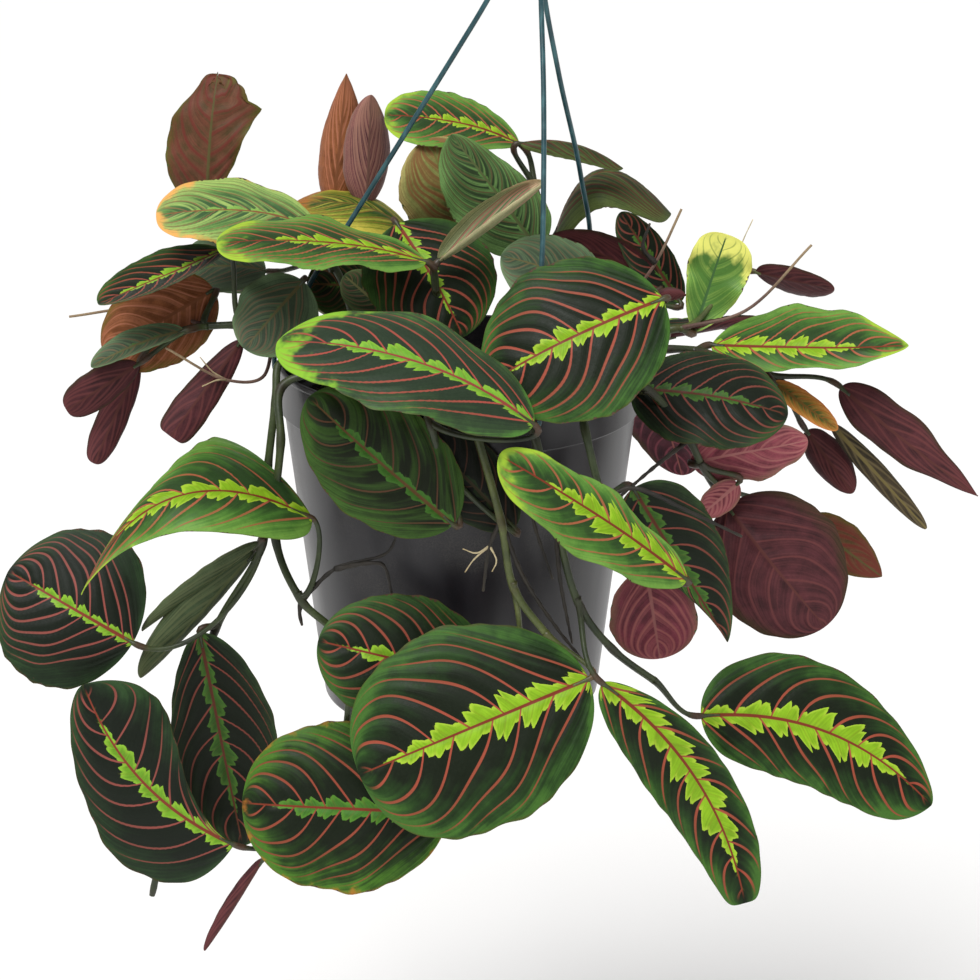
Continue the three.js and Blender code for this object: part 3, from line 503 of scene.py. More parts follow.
class Nodes:
    """Adds shader nodes to a tree; what they are given may be numbers, colours or values."""

    def __init__(self, tree):
        self.tree = tree
        tree.nodes.clear()

    def add(self, kind, **settings):
        node = self.tree.nodes.new(kind)
        for name, value in settings.items():
            setattr(node, name, value)
        return node

    def plug(self, socket, value):
        if isinstance(value, Value):
            self.tree.links.new(value.socket, socket)
        else:
            socket.default_value = value

    def fed(self, node, entries):
        """The node's first result, with its first inputs given these entries."""
        for socket, entry in zip(node.inputs, entries):
            self.plug(socket, entry)
        return Value(self, node.outputs[0])

    def math(self, operation, *entries):
        return self.fed(self.add("ShaderNodeMath", operation=operation), entries)

    def ramp(self, value, start, end, low=0.0, high=1.0, smooth=True):
        """value from start to end becomes low to high, held at both ends."""
        kind = "SMOOTHSTEP" if smooth else "LINEAR"
        node = self.add("ShaderNodeMapRange", interpolation_type=kind)
        return self.fed(node, (value, start, end, low, high))

    def mix(self, share, a, b):
        node = self.add("ShaderNodeMix", data_type="RGBA", clamp_factor=True)
        for socket, entry in zip((node.inputs[0], *node.inputs[6:8]), (share, a, b)):
            self.plug(socket, entry)
        return Value(self, node.outputs[2])

    def scaled(self, vector, value):
        """A colour or a place times a value, 1 leaving it as it is."""
        node = self.add("ShaderNodeVectorMath", operation="SCALE")
        self.plug(node.inputs["Scale"], value)
        return self.fed(node, (vector,))

    def split(self, vector):
        node = self.add("ShaderNodeSeparateXYZ")
        self.plug(node.inputs[0], vector)
        return [Value(self, socket) for socket in node.outputs]

    def join(self, x, y, z):
        return self.fed(self.add("ShaderNodeCombineXYZ"), (x, y, z))

    def noise(self, vector, scale, detail=2.0, roughness=0.5):
        node = self.add("ShaderNodeTexNoise")
        entries = {"Vector": vector, "Scale": scale, "Detail": detail, "Roughness": roughness}
        for label, entry in entries.items():
            self.plug(node.inputs[label], entry)
        return Value(self, node.outputs["Fac"])

    def field(self, name):
        return Value(self, self.add("ShaderNodeAttribute", attribute_name=name).outputs["Vector"])

    def place(self):
        return Value(self, self.add("ShaderNodeTexCoord").outputs["Object"])


# What every effect puts out, each with a value that shows its kind.
FINISH_OUTPUTS = {"Colour": (0.0, 0.0, 0.0, 1.0), "Roughness": 0.5, "Height": 0.0}


def effect(name, inputs, build):
    """A node group: inputs are {name: default}, and build wires them to the outputs."""
    tree = bpy.data.node_groups.get(name)
    if tree:
        return tree
    tree = bpy.data.node_groups.new(name, "ShaderNodeTree")
    kit = Nodes(tree)
    for direction, sockets in (("INPUT", inputs), ("OUTPUT", FINISH_OUTPUTS)):
        for label, value in sockets.items():
            kind = "NodeSocketColor" if isinstance(value, tuple) else "NodeSocketFloat"
            socket = tree.interface.new_socket(label, in_out=direction, socket_type=kind)
            if direction == "INPUT":
                socket.default_value = value
    sockets = kit.add("NodeGroupInput").outputs
    result = build(kit, {label: Value(kit, sockets[label]) for label in inputs})
    end = kit.add("NodeGroupOutput").inputs
    for label, value in result.items():
        kit.plug(end[label], value)
    return tree


def finish_of(name, group, values, specular=0.5, bump=0.3, reach=0.0005):
    """A material whose colour, roughness and bump come from an effect with these values."""
    material = bpy.data.materials.get(name)
    if material:
        return material
    material = bpy.data.materials.new(name)
    material.use_nodes = True
    kit = Nodes(material.node_tree)
    used = kit.add("ShaderNodeGroup", node_tree=group)
    for label, value in values.items():
        used.inputs[label].default_value = value
    relief = kit.add("ShaderNodeBump")
    skin = kit.add("ShaderNodeBsdfPrincipled")
    end = kit.add("ShaderNodeOutputMaterial")
    for node, label, entry in (
        (relief, "Strength", bump),
        (relief, "Distance", reach),
        (relief, "Height", Value(kit, used.outputs["Height"])),
        (skin, "Specular IOR Level", specular),
        (skin, "Base Color", Value(kit, used.outputs["Colour"])),
        (skin, "Roughness", Value(kit, used.outputs["Roughness"])),
        (skin, "Normal", Value(kit, relief.outputs["Normal"])),
        (end, "Surface", Value(kit, skin.outputs["BSDF"])),
    ):
        kit.plug(node.inputs[label], entry)
    return material


# ---- mesh helpers -----------------------------------------------------------------


class Skin:
    """Gathers the points, faces, finishes and point fields of one piece."""

    def __init__(self):
        self.points, self.faces, self.finishes, self.materials = [], [], [], []
        self.fields, self.sharp, self.count = {}, [], 0

    def add(self, points, faces, material, fields=None, sharp=None):
        """faces: one list for each material in a list, or one list and one material."""
        points = np.asarray(points, float).reshape(-1, 3)
        if not isinstance(material, list):
            faces, material = [faces], [material]
        for batch, finish in zip(faces, material):
            if finish not in self.materials:
                self.materials.append(finish)
            slot = self.materials.index(finish)
            for face in batch:
                self.faces.append(tuple(int(i) + self.count for i in face))
                self.finishes.append(slot)
        for name, values in (fields or {}).items():
            self.fields.setdefault(name, []).append((self.count, np.asarray(values, float)))
        if sharp is not None:
            self.sharp.extend(int(i) + self.count for i in sharp)
        self.points.append(points)
        self.count += len(points)

    def piece(self, name, slot, *nodes):
        """The gathered skin as an object on the root body."""
        mesh = bpy.data.meshes.new(name)
        points = (np.concatenate(self.points) - ORIGIN) * MM
        mesh.from_pydata(points.tolist(), [], self.faces)
        for label, runs in self.fields.items():
            values = np.zeros((self.count, 3))
            for start, run in runs:
                values[start : start + len(run)] = run
            layer = mesh.attributes.new(label, "FLOAT_VECTOR", "POINT")
            layer.data.foreach_set("vector", values.astype(np.float32).ravel())
        for material in self.materials:
            mesh.materials.append(material)
        mesh.polygons.foreach_set("material_index", self.finishes)
        mesh.polygons.foreach_set("use_smooth", [True] * len(self.faces))
        if self.sharp:
            edged = np.zeros(self.count, bool)
            edged[self.sharp] = True
            ends = np.zeros(len(mesh.edges) * 2, np.int32)
            mesh.edges.foreach_get("vertices", ends)
            both = edged[ends.reshape(-1, 2)].all(axis=1)
            layer = mesh.attributes.new("sharp_edge", "BOOLEAN", "EDGE")
            layer.data.foreach_set("value", both)
        mesh.update()
        thing = bpy.data.objects.new(name, mesh)
        bpy.context.scene.collection.objects.link(thing)
        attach(thing, "root")
        if nodes:
            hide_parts(*nodes)
        return thing


def unit(vector):
    """The vector, or each of a row of vectors, made one long."""
    vector = np.asarray(vector, float)
    return vector / np.linalg.norm(vector, axis=-1, keepdims=True)


def grid_faces(rows, columns):
    """Quads between rows + 1 lines of columns + 1 points, the corner ones cut inwards."""
    corner = np.arange(rows)[:, None] * (columns + 1) + np.arange(columns)[None, :]
    a, b = corner.ravel(), corner.ravel() + 1
    quads = np.stack([a, b, b + columns + 1, a + columns + 1], axis=1)
    cuts = {0: 0, columns - 1: 1, (rows - 1) * columns: 1, rows * columns - 1: 0}
    faces = []
    for number, quad in enumerate(quads.tolist()):
        if number in cuts:
            a, b, c, d = quad[cuts[number] :] + quad[: cuts[number]]
            faces += [(a, b, c), (a, c, d)]
        else:
            faces.append(quad)
    return faces


def curve_through(points, per_span):
    """A smooth way through the points, per_span steps from each to the next."""
    p = [np.asarray(q, float) for q in points]
    p = [2 * p[0] - p[1], *p, 2 * p[-1] - p[-2]]
    way = []
    for i in range(1, len(p) - 2):
        a, b, c, d = p[i - 1 : i + 3]
        k = [max(np.linalg.norm(v) ** 0.5, 1e-4) for v in (b - a, c - b, d - c)]
        lead = ((b - a) / k[0] - (c - a) / (k[0] + k[1]) + (c - b) / k[1]) * k[1]
        trail = ((c - b) / k[1] - (d - b) / (k[1] + k[2]) + (d - c) / k[2]) * k[1]
        for step in range(per_span):
            u = step / per_span
            square = (-3 * b + 3 * c - 2 * lead - trail) * u * u
            cube = (2 * b - 2 * c + lead + trail) * u**3
            way.append(b + lead * u + square + cube)
    way.append(p[-2])
    return np.array(way)


def resample(way, spacing):
    """The way again with points about spacing apart."""
    steps = np.linalg.norm(np.diff(way, axis=0), axis=1)
    run = np.concatenate([[0], np.cumsum(steps)])
    count = max(int(round(run[-1] / spacing)), 2)
    at = np.linspace(0, run[-1], count + 1)
    return np.stack([np.interp(at, run, way[:, k]) for k in range(3)], axis=1), at


def ring_faces(rings, sides):
    """Faces of a closed round skin: quads between rings, then a fan to a point at each end."""
    faces = []
    for k in range(rings - 1):
        for j in range(sides):
            a, b = k * sides + j, k * sides + (j + 1) % sides
            faces.append((a, b, b + sides, a + sides))
    first, end = rings * sides, (rings - 1) * sides
    for j in range(sides):
        faces.append((first, (j + 1) % sides, j))
        faces.append((first + 1, end + j, end + (j + 1) % sides))
    return faces


def around(sides):
    """Cosines and sines of evenly spaced turns."""
    turn = np.linspace(0, 2 * np.pi, sides, endpoint=False)
    return np.cos(turn), np.sin(turn)


def rings_of(radii, heights, sides):
    """Rings of points about the pot's axis."""
    cosine, sine = around(sides)
    radii, heights = np.asarray(radii)[:, None], np.asarray(heights)[:, None]
    return np.stack([radii * cosine, radii * sine, heights + 0 * sine], axis=-1).reshape(-1, 3)


def tube(skin, way, radius, sides, material, fields=None, squash=None):
    """A closed round tube along the way; radius is one number or one for each point."""
    way = np.asarray(way, float)
    radius = np.broadcast_to(np.asarray(radius, float), (len(way),))
    heading = unit(np.gradient(way, axis=0))
    aslant = [0.3, 0.2, 1.0] if abs(heading[0][2]) < 0.9 else [1, 0.2, 0]
    sides_out = [unit(np.cross(heading[0], aslant))]
    for ahead in heading:
        side = sides_out[-1]
        sides_out.append(unit(side - ahead * side.dot(ahead)))
    side = np.array(sides_out[1:])
    other = np.cross(heading, side)
    cosine, sine = around(sides)
    ring = side[:, None] * cosine[None, :, None] + other[:, None] * sine[None, :, None]
    if squash is not None:
        ring = ring * (1 + squash[:, None] * (cosine**2 - sine**2)[None, :])[..., None]
    points = way[:, None] + ring * radius[:, None, None]
    points = np.concatenate([points.reshape(-1, 3), way[:1], way[-1:]])
    spread = {}
    for name, values in (fields or {}).items():
        spread[name] = np.concatenate([np.repeat(values, sides, axis=0), values[:1], values[-1:]])
    skin.add(points, ring_faces(len(way), sides), material, spread)


def turned(skin, profile, sides, material):
    """A profile of (radius, height) turned about the pot's axis; it starts and ends on it."""
    radii, heights = np.array(profile, float).T
    ends = [(0, 0, heights[0]), (0, 0, heights[-1])]
    points = np.concatenate([rings_of(radii[1:-1], heights[1:-1], sides), ends])
    skin.add(points, ring_faces(len(profile) - 2, sides), material)


# ---- the leaf blade ---------------------------------------------------------------


def blade_axes(leaf):
    """Where the blade starts, its length, and its ways: along, up from its face, across."""
    base = np.array(leaf["base"], float)
    chord = np.array(leaf["tip"], float) - base
    length = np.linalg.norm(chord)
    along = chord / length
    face = np.array(leaf["face"], float)
    up = unit(face - along * face.dot(along))
    return base, length, along, up, np.cross(along, up)


def rib(leaf, s):
    """Points and headings of the rib at shares s of its length."""
    base, length, along, up, across = blade_axes(leaf)
    bend = up * leaf.get("arch", 0) + across * leaf.get("sway", 0)
    s = np.asarray(s, float)[..., None]
    point = base + along * length * s + bend * 4 * s * (1 - s)
    return point, unit(along * length + bend * 4 * (1 - 2 * s))


def side_share(leaf, s, side):
    """How wide one side of the rib is here, against what is usual; right is side 1."""
    shares = []
    for label in ("left", "right"):
        near, middle, far = leaf.get(label, (1, 1, 1))
        shares.append((1 - s) ** 2 * near + 2 * s * (1 - s) * middle + s * s * far)
    return np.where(side > 0, shares[1], shares[0])


def half_width(leaf, s, side):
    """From rib to margin at shares s of the length."""
    shoulder, point = leaf.get("shoulder", BLADE_SHOULDER), leaf.get("point", BLADE_POINT)
    widest = shoulder / (shoulder + point)
    rise = (s / widest) ** shoulder
    fall = ((1 - s) / (1 - widest)) ** point
    return np.maximum(leaf["width"] / 2 * side_share(leaf, s, side) * rise * fall, 0.3)


def vein_way(leaf, s, a, side, seed):
    """Which lateral vein passes here, counted from the base: whole numbers lie on veins."""
    furled = np.clip((abs(leaf.get("fold", 0)) - 20) / 40, 0, 1)
    reach = leaf["width"] / 2 / blade_axes(leaf)[1] * (1 + furled) * leaf.get("sweep", 1)
    reach = reach * side_share(leaf, 0.5, side)
    lean = leaf.get("lean", 0) * side
    first, third = 0.6 + lean, 0.85 - lean
    count = leaf.get("veins", USUAL_VEINS)
    way = count * (s - reach * (first * a + third * a**3))
    way = way + 0.1 * np.sin(2.3 * s * count + seed * 9) * np.clip((1 - s) * 5, 0, 1)
    slope = reach * (first + 3 * third * a * a) / half_width(leaf, s, side)
    pitch = 1 / (count * np.sqrt((1 / blade_axes(leaf)[1]) ** 2 + slope**2))
    return way, np.maximum(pitch, 1.2)


def margin(leaf, s, side, seed):
    """How far the uneven edge lies from the rib, against its even outline."""
    uneasy = np.sin(9.1 * s + 17 * seed + 2.4 * side) + 0.6 * np.sin(21 * s + 29 * seed - side)
    bitten = np.interp(s, TORN_AT, TORN_LONG_SIDE) * (side < 0)
    bitten = bitten + np.interp(s, TORN_AT, TORN_SHORT_SIDE) * (side >= 0)
    even = 1 + MARGIN_UNEASE * uneasy * np.sin(np.pi * s)
    return even * (1 + leaf.get("torn", 0) * (bitten - 1))


def blade_relief(leaf, s, t, way, pitch, half, settings):
    """Lifts of both sides: the lamina swells between veins, sunk above and raised below."""
    a, side = np.abs(t), np.sign(t)
    spot = (way + VEIN_STAGGER * (side > 0)) % 1
    near = np.minimum(spot, 1 - spot) * pitch
    inside = (1 - a**6) * np.clip(np.minimum(s, 1 - s) * 12, 0, 1)
    inside = inside * np.clip(half * a / 3, 0, 1) * min(leaf["width"] / FULL_WIDTH, 1) ** 1.5
    drawn = np.clip((0.97 - a) / 0.2, 0, 1) * inside
    swell = settings.swell * np.sin(np.pi * spot) * np.minimum(pitch / 9, 1) * inside
    groove = settings.groove * np.exp(-(near**2)) * drawn
    spine = np.exp(-((half * t) ** 2)) * np.clip((1 - s) * 4, 0, 1)
    lift = swell - groove - RIB_SINK * spine
    ridge = VEIN_RIDGE * np.exp(-((near / 0.8) ** 2)) * drawn
    ridge = ridge + (1.0 - 0.8 * s) * RIB_RIDGE * spine
    thick = settings.thickness / 2 * np.sqrt(np.clip(1 - a**4, 0, 1)) * np.ones_like(s)
    return lift + thick, lift - thick - ridge * inside


def blade(skin, leaf, upper, under, seed, settings):
    """One leaf blade, closed, with its veins sunk above and raised below."""
    _, length, _, up0, _ = blade_axes(leaf)
    rows = max(int(length / settings.cell), 16)
    columns = 2 * max(int(leaf["width"] / settings.cell / 2), 5)
    s = ((1 - np.cos(np.pi * np.arange(rows + 1) / rows)) / 2)[:, None]
    t = np.linspace(-1, 1, columns + 1)[None, :]
    a, side = np.abs(t), np.sign(t)
    centre, heading = rib(leaf, s[:, 0])
    up = unit(up0 - heading * (heading @ up0)[:, None])
    twist = np.radians(leaf.get("twist", 0)) * s
    up = up * np.cos(twist) + np.cross(heading, up) * np.sin(twist)
    across = np.cross(heading, up)
    half = half_width(leaf, s, side)
    way, pitch = vein_way(leaf, s, a, side, seed)

    # the margin swells a little where each vein meets it
    swollen = 1 + MARGIN_SWELL * np.cos(2 * np.pi * way) * a**8
    half_here = half * swollen * margin(leaf, s, side, seed)
    curl = np.radians(leaf.get("fold", 0)) * FOLD_CURL
    curl = curl if abs(curl) > 0.01 else 0.01
    flat = half_here * np.sin(curl * a) / curl * side
    rise = half_here * (1 - np.cos(curl * a)) / curl
    phase = np.where(t > 0, 0, BLADE_WAVE_LAG)
    ruffle = leaf.get("wave", 0) * np.sin(2 * np.pi * BLADE_WAVES * s + phase) * np.sin(np.pi * s)
    fine = FINE_RUFFLE * min(leaf["width"] / FULL_WIDTH, 1) * np.sin(2 * np.pi * (way + seed))
    fine = fine * a**3 * np.sin(np.pi * s)
    billow = BILLOW * half * np.sin(5.1 * s + 2.3 * t + 11 * seed) * np.sin(np.pi * s)
    rise = rise + (ruffle - BLADE_DROOP * 2 * half) * t * t + fine + billow
    tilt = curl * a
    normal = up[:, None] * np.cos(tilt)[..., None]
    normal = normal - across[:, None] * (side * np.sin(tilt))[..., None]
    middle = centre[:, None] + across[:, None] * flat[..., None] + up[:, None] * rise[..., None]
    jag = leaf.get("torn", 0) * length * TORN_JAG * s**6
    jag = jag * (np.sin(9 * t + 1) + 0.7 * np.sin(23 * t) - 0.6)
    middle = middle + heading[:, None] * jag[..., None]
    above, beneath = blade_relief(leaf, s, t, way, pitch, half, settings)
    top = middle + normal * above[..., None]
    bottom = middle + normal * beneath[..., None]

    # both faces share the points of the margin
    on_rim = np.zeros((rows + 1, columns + 1), bool)
    on_rim[:, 0] = on_rim[:, -1] = on_rim[0] = on_rim[-1] = True
    top[on_rim] = middle[on_rim]
    size = (rows + 1) * (columns + 1)
    index = np.arange(size).reshape(rows + 1, columns + 1)
    lower = index.copy()
    lower[~on_rim] = size + np.arange((~on_rim).sum())
    order = np.concatenate([np.arange(size), index[~on_rim]])
    quads = grid_faces(rows, columns)
    lower = lower.ravel()
    below = [[lower[corner] for corner in reversed(quad)] for quad in quads]
    points = np.concatenate([top.reshape(-1, 3), bottom[~on_rim]])
    ones = np.ones_like(s * t)
    cell = length / leaf.get("veins", USUAL_VEINS)
    fields = {}
    for label, parts in (
        ("vein_mark", (way, half * t, pitch)),
        ("blade_place", (s, a, cell)),
        ("blade_seed", (seed, side, s * length)),
    ):
        fields[label] = np.stack([part * ones for part in parts], axis=-1).reshape(-1, 3)[order]
    skin.add(points, [quads, below], [upper, under], fields, sharp=index[on_rim])


# ---- stems and stalks -------------------------------------------------------------


def stem_way(stem):
    """From under the soil, upright at first, and then along the stem's path."""
    x, y = stem["foot"]
    start = [(x, y, SOIL_EDGE - STEM_ROOTING), (x, y, SOIL_CROWN)]
    rise = [(x, y, SOIL_CROWN + STEM_RISE / 2), (x, y, SOIL_CROWN + STEM_RISE)]
    over = [stem["over"]] if "over" in stem else []
    way = curve_through([start[1], *rise, *over, *stem["path"]], 12)
    return np.concatenate([start[:1], way])


def sprout(stem, at):
    """Where a stalk leaves its stem, and the way that the stem runs there."""
    if at > 0:
        before = stem["path"][at - 1]
    else:
        before = stem.get("over", (*stem["foot"], SOIL_CROWN))
    joint = np.array(stem["path"][at], float)
    heading = unit(joint - np.array(before, float))
    return joint - heading * STALK_SINKING, heading


def stalk_way(stem, leaf):
    """From inside the stem, along it and then over to run in under the blade."""
    start, heading = sprout(stem, leaf["at"])
    (entry,), (inward,) = rib(leaf, [0.0])
    reach = np.linalg.norm(entry - start) * 0.35
    knots = [start, start + heading * reach, entry - inward * reach, entry]
    u = np.linspace(0, 1, 30)[:, None]
    weights = [(1 - u) ** 3, 3 * u * (1 - u) ** 2, 3 * u * u * (1 - u), u**3]
    bend = sum(w * k for w, k in zip(weights, knots))
    below = rib(leaf, np.linspace(0.01, 0.07, 5))[0] - blade_axes(leaf)[3] * 0.5
    return np.concatenate([bend, below])


def stalk_fields(run, seed, knee, sheath):
    """What the stalk finish reads at each point of a way."""
    marks = np.stack([run / run[-1], knee, sheath], axis=1)
    seeds = np.stack([np.full(len(run), seed), run, run * 0], axis=1)
    return {"stalk_mark": marks, "blade_seed": seeds}


def stalk(skin, stem, leaf, material, seed):
    """A leaf stalk: its sheath wraps the stem, and its knee is swollen under the blade."""
    way, run = resample(stalk_way(stem, leaf), STALK_CELL)
    left = run[-1] - run
    under = 0.06 * blade_axes(leaf)[1]
    knee = np.exp(-(((left - under - 4.5) / 3.4) ** 4))
    sheath = np.exp(-run / 9.0)
    radius = STALK_RADIUS + sheath + 0.42 * knee
    radius = radius * np.clip(left / (under + 1.0), 0.35, 1) ** 0.5
    fields = stalk_fields(run, seed, knee, sheath)
    tube(skin, way, radius, STALK_SIDES, material, fields, squash=0.14 * sheath)


def twig(skin, start, path, finish, seed):
    """A dry side shoot that starts in its stem."""
    way, run = resample(curve_through([start, *path], 10), TWIG_CELL)
    thin = TWIG_RADIUS * (1 + 0.7 * np.exp(-run / 5.0)) * (1 - 0.35 * run / run[-1])
    dried = np.clip(run / run[-1] * 3 - 1.6, 0, 1)
    fields = stalk_fields(run, seed, dried, np.exp(-run / 8.0))
    tube(skin, way, thin, TWIG_SIDES, finish, fields)


def wisp(skin, path, finish, seed, size):
    """A thin withered stalk along a path that starts on what carries it."""
    way, run = resample(curve_through(path, 8), WISP_CELL)
    thin = WISP_RADIUS * (1 - 0.5 * run / run[-1]) * (1 + 0.14 * np.sin(run * 0.9 + seed * 7))
    thin = (thin + 0.4 * np.exp(-run / 3.0)) * size
    end = np.exp(-(((run[-1] - run) / 2.0) ** 2))
    fields = stalk_fields(run, seed, end, np.exp(-run / 6.0))
    tube(skin, way, thin, WISP_SIDES, finish, fields)


def stem_skin(skin, stem, finish, seed):
    """The stem itself, thicker at the joints that its leaves leave from."""
    way, run = resample(stem_way(stem), STEM_CELL)
    knots = [np.array(p, float) for p in stem["path"]]
    swell = sum(np.exp(-((np.linalg.norm(way - k, axis=1) / 4.0) ** 2)) for k in knots)
    swell = np.clip(swell, 0, 1)
    radius = STEM_RADIUS * (1 - 0.12 * run / run[-1]) + 0.35 * swell
    radius = radius * np.clip((run[-1] - run) / 3.0, 0.5, 1) ** 0.5
    tube(skin, way, radius, STEM_SIDES, finish, stalk_fields(run, seed, 0 * run, swell))


# ---- finishes ---------------------------------------------------------------------


def vein_places(kit):
    """How a spot lies to the veins: way, phase, near, gap, distance from the rib, right half."""
    way, across, pitch = kit.split(kit.field("vein_mark"))
    right = across > 0.0
    way = right * VEIN_STAGGER + way
    phase = kit.math("FRACT", way)
    near = kit.math("MINIMUM", phase, 1.0 - phase)
    return way, phase, near, near * pitch, abs(across), right


def leaf_noises(kit, cloud_scale, grain_scale):
    """Broad clouds and a fine grain that differ from leaf to leaf."""
    across = kit.split(kit.field("vein_mark"))[1]
    seed, _, along = kit.split(kit.field("blade_seed"))
    spot = kit.join(along * 0.1, across * 0.1, seed)
    return kit.noise(spot, cloud_scale, 3.0), kit.noise(spot, grain_scale, 4.0, 0.65)


def vein_lines(kit, count, drawn):
    """Noise drawn out along the veins, count lines to each of them."""
    way, _, _, _, out, _ = vein_places(kit)
    seed = kit.split(kit.field("blade_seed"))[0]
    return kit.noise(kit.join(way * count, out * drawn, seed), 1.0, 2.0)


def blotches(kit, entry, cloud, grain):
    """Where a leaf has gone brown: in patches, first at its tip and its margin."""
    s, a, _ = kit.split(kit.field("blade_place"))
    worn = kit.math("MAXIMUM", kit.ramp(a, 0.72, 1.0), kit.ramp(s, 0.82, 1.0))
    worn = grain * 0.12 + (worn * 0.5 + cloud * 0.9)
    worn = entry["Blemish"] * 0.45 + worn
    return kit.ramp(worn, 1.25, 1.5) * kit.ramp(entry["Blemish"], 0.0, 0.2)


def leaf_upper_effect():
    """Upper side: red veins, a lobed lime feather along the rib, dark lamina, green margin."""
    inputs = {
        "Dark": paint("#161e11"),
        "Middle": paint("#26401c"),
        "Margin": paint("#426a2a"),
        "Feather": paint("#88b422"),
        "Feather edge": paint("#accc3c"),
        "Vein": paint("#a64e3c"),
        "Midrib": paint("#7c3624"),
        "Feather reach": 0.6,
        "Feather end": 0.96,
        "Vein width": 0.6,
        "Margin start": 0.66,
        "Streaks": 0.0,
        "Blemish": 0.0,
        "Blemish colour": paint("#6b4a1e"),
        "Tip": 0.0,
        "Tip colour": paint("#9cc036"),
        "Gloss": 0.44,
    }

    def build(kit, entry):
        way, phase, _, gap, out, right = vein_places(kit)
        pitch = kit.split(kit.field("vein_mark"))[2]
        s, a, cell = kit.split(kit.field("blade_place"))
        seed = kit.split(kit.field("blade_seed"))[0]
        cloud, grain = leaf_noises(kit, 1.1, 9.0)

        # lateral veins, thinner outwards, faded at the margin and the tip
        taper = kit.ramp(a, 0.45, 1.0, 1.0, 0.45) * kit.ramp(a, 0.0, 0.4, 0.66, 1.0)
        width = entry["Vein width"] * taper
        fade = kit.ramp(a, 0.97, 0.8) * kit.ramp(s, 0.99, 0.93)
        vein = kit.ramp(gap, width * 1.25, width * 0.7) * fade * kit.ramp(way, -0.35, -0.2)
        rib_width = kit.ramp(s, 0.0, 1.0, 0.95, 0.35, smooth=False)
        midrib = kit.ramp(out, rib_width * 1.15, rib_width * 0.7) * kit.ramp(s, 0.99, 0.93)

        # the feather: in each cell one lobe with a few round teeth, cut back at the next vein
        cell_name = right * 31.7 + kit.math("FLOOR", way)
        chance = kit.noise(kit.join(cell_name, seed, 0.5), 3.7, 0.0)
        wander = kit.noise(kit.join(way * 2.3, right, seed), 1.0, 1.0)
        lobe = kit.ramp(phase, 0.0, 0.42, 0.4, 1.0, smooth=False)
        lobe = lobe * kit.ramp(phase, 1.0, 0.6, 0.22, 1.0, smooth=False)
        teeth = phase * 2.6 + (wander * 0.9 + 0.1)
        teeth = (kit.math("PINGPONG", teeth, 0.5) * 2.0) ** 0.7
        lobe = lobe**0.8 * (teeth * 0.42 + 0.68) * kit.ramp(chance, 0.3, 0.7, 0.76, 1.2)
        end = entry["Feather end"]
        span = kit.ramp(s, 0.0, 0.34, 0.66, 1.0) * kit.ramp(s, end, end - 0.4, 0.0, 1.0)
        reach = entry["Feather reach"] * cell * (lobe * span)
        reach = reach + kit.ramp(grain, 0.3, 0.7, -0.2, 0.2)
        feather = kit.ramp(out, reach + 0.14, reach - 0.14) * kit.ramp(reach, 0.6, 1.3)
        minor = kit.ramp(abs(phase - 0.55) * pitch, 0.5, 0.15)
        minor = minor * kit.ramp(out, reach + 1.5, reach - 0.8)

        # lamina: darkest past the feather, greener towards margin, tip and base
        lines, bands = vein_lines(kit, 16.0, 0.06), vein_lines(kit, 4.0, 0.04)
        ends = kit.math("MAXIMUM", kit.ramp(s, 0.72, 1.0), kit.ramp(s, 0.1, 0.0, 0.0, 0.8))
        outward = a + (cloud - 0.5) * 0.6 + ends * 0.45 + kit.ramp(bands, 0.3, 0.7, -0.1, 0.1)
        start = entry["Margin start"]
        greener = kit.ramp(outward, start - 0.3, start + 0.22)
        colour = kit.mix(greener, entry["Dark"], entry["Middle"])
        colour = kit.mix(kit.ramp(outward, start + 0.08, start + 0.5), colour, entry["Margin"])
        streak = kit.ramp(bands, 0.42, 0.62) * entry["Streaks"]
        colour = kit.mix(streak, colour, entry["Margin"])
        shadow = kit.ramp(lines, 0.5, 0.32) * entry["Streaks"]
        colour = kit.mix(shadow * 0.7, colour, entry["Dark"])
        colour = kit.scaled(colour, kit.ramp(lines, 0.25, 0.75, 0.92, 1.09, False))
        colour = kit.scaled(colour, kit.ramp(grain, 0.3, 0.7, 0.9, 1.1, False))
        beside = kit.ramp(gap, 2.4, 0.9) * kit.ramp(a, 0.9, 0.4, 0.0, 0.4)
        colour = kit.mix(beside, colour, entry["Dark"])
        colour = kit.mix(blotches(kit, entry, cloud, grain), colour, entry["Blemish colour"])
        edge = (cloud - 0.5) * 0.5 + (kit.ramp(a, 0.55, 1.0) * 0.18 + s)
        tip_start = 1.04 - entry["Tip"]
        tip = kit.ramp(edge, tip_start, tip_start + 0.14) * kit.ramp(entry["Tip"], 0.0, 0.05)
        colour = kit.mix(tip, colour, entry["Tip colour"])
        inner = kit.ramp(out, reach - 2.4, reach - 0.3)
        green = kit.scaled(entry["Feather"], kit.ramp(lines, 0.3, 0.65, 0.84, 1.04))
        green = kit.scaled(green, kit.ramp(cloud, 0.35, 0.65, 0.86, 1.06))
        colour = kit.mix(feather, colour, kit.mix(inner * 0.7, green, entry["Feather edge"]))
        faint = kit.mix(0.5, entry["Midrib"], entry["Feather"])
        colour = kit.mix(minor * 0.3, colour, faint)
        rosy = kit.mix(kit.ramp(a, 0.1, 0.75, 0.0, 0.3), entry["Vein"], entry["Middle"])
        rosy = kit.mix(kit.ramp(out, 3.0, 0.8, 0.0, 0.6), rosy, entry["Midrib"])
        colour = kit.mix(vein * (0.95 - tip * 0.5), colour, rosy)
        colour = kit.mix(midrib, colour, entry["Midrib"])
        brim = kit.mix(0.5, entry["Blemish colour"], entry["Dark"])
        colour = kit.mix(kit.ramp(a, 0.972, 0.995, 0.0, 0.45), colour, brim)
        rough = entry["Gloss"] + kit.ramp(grain, 0.3, 0.7, -0.06, 0.08, False)
        rough = rough + kit.ramp(cloud, 0.3, 0.7, -0.05, 0.07)
        height = lines * 0.6 + grain * 0.4
        return {"Colour": colour, "Roughness": rough, "Height": height}

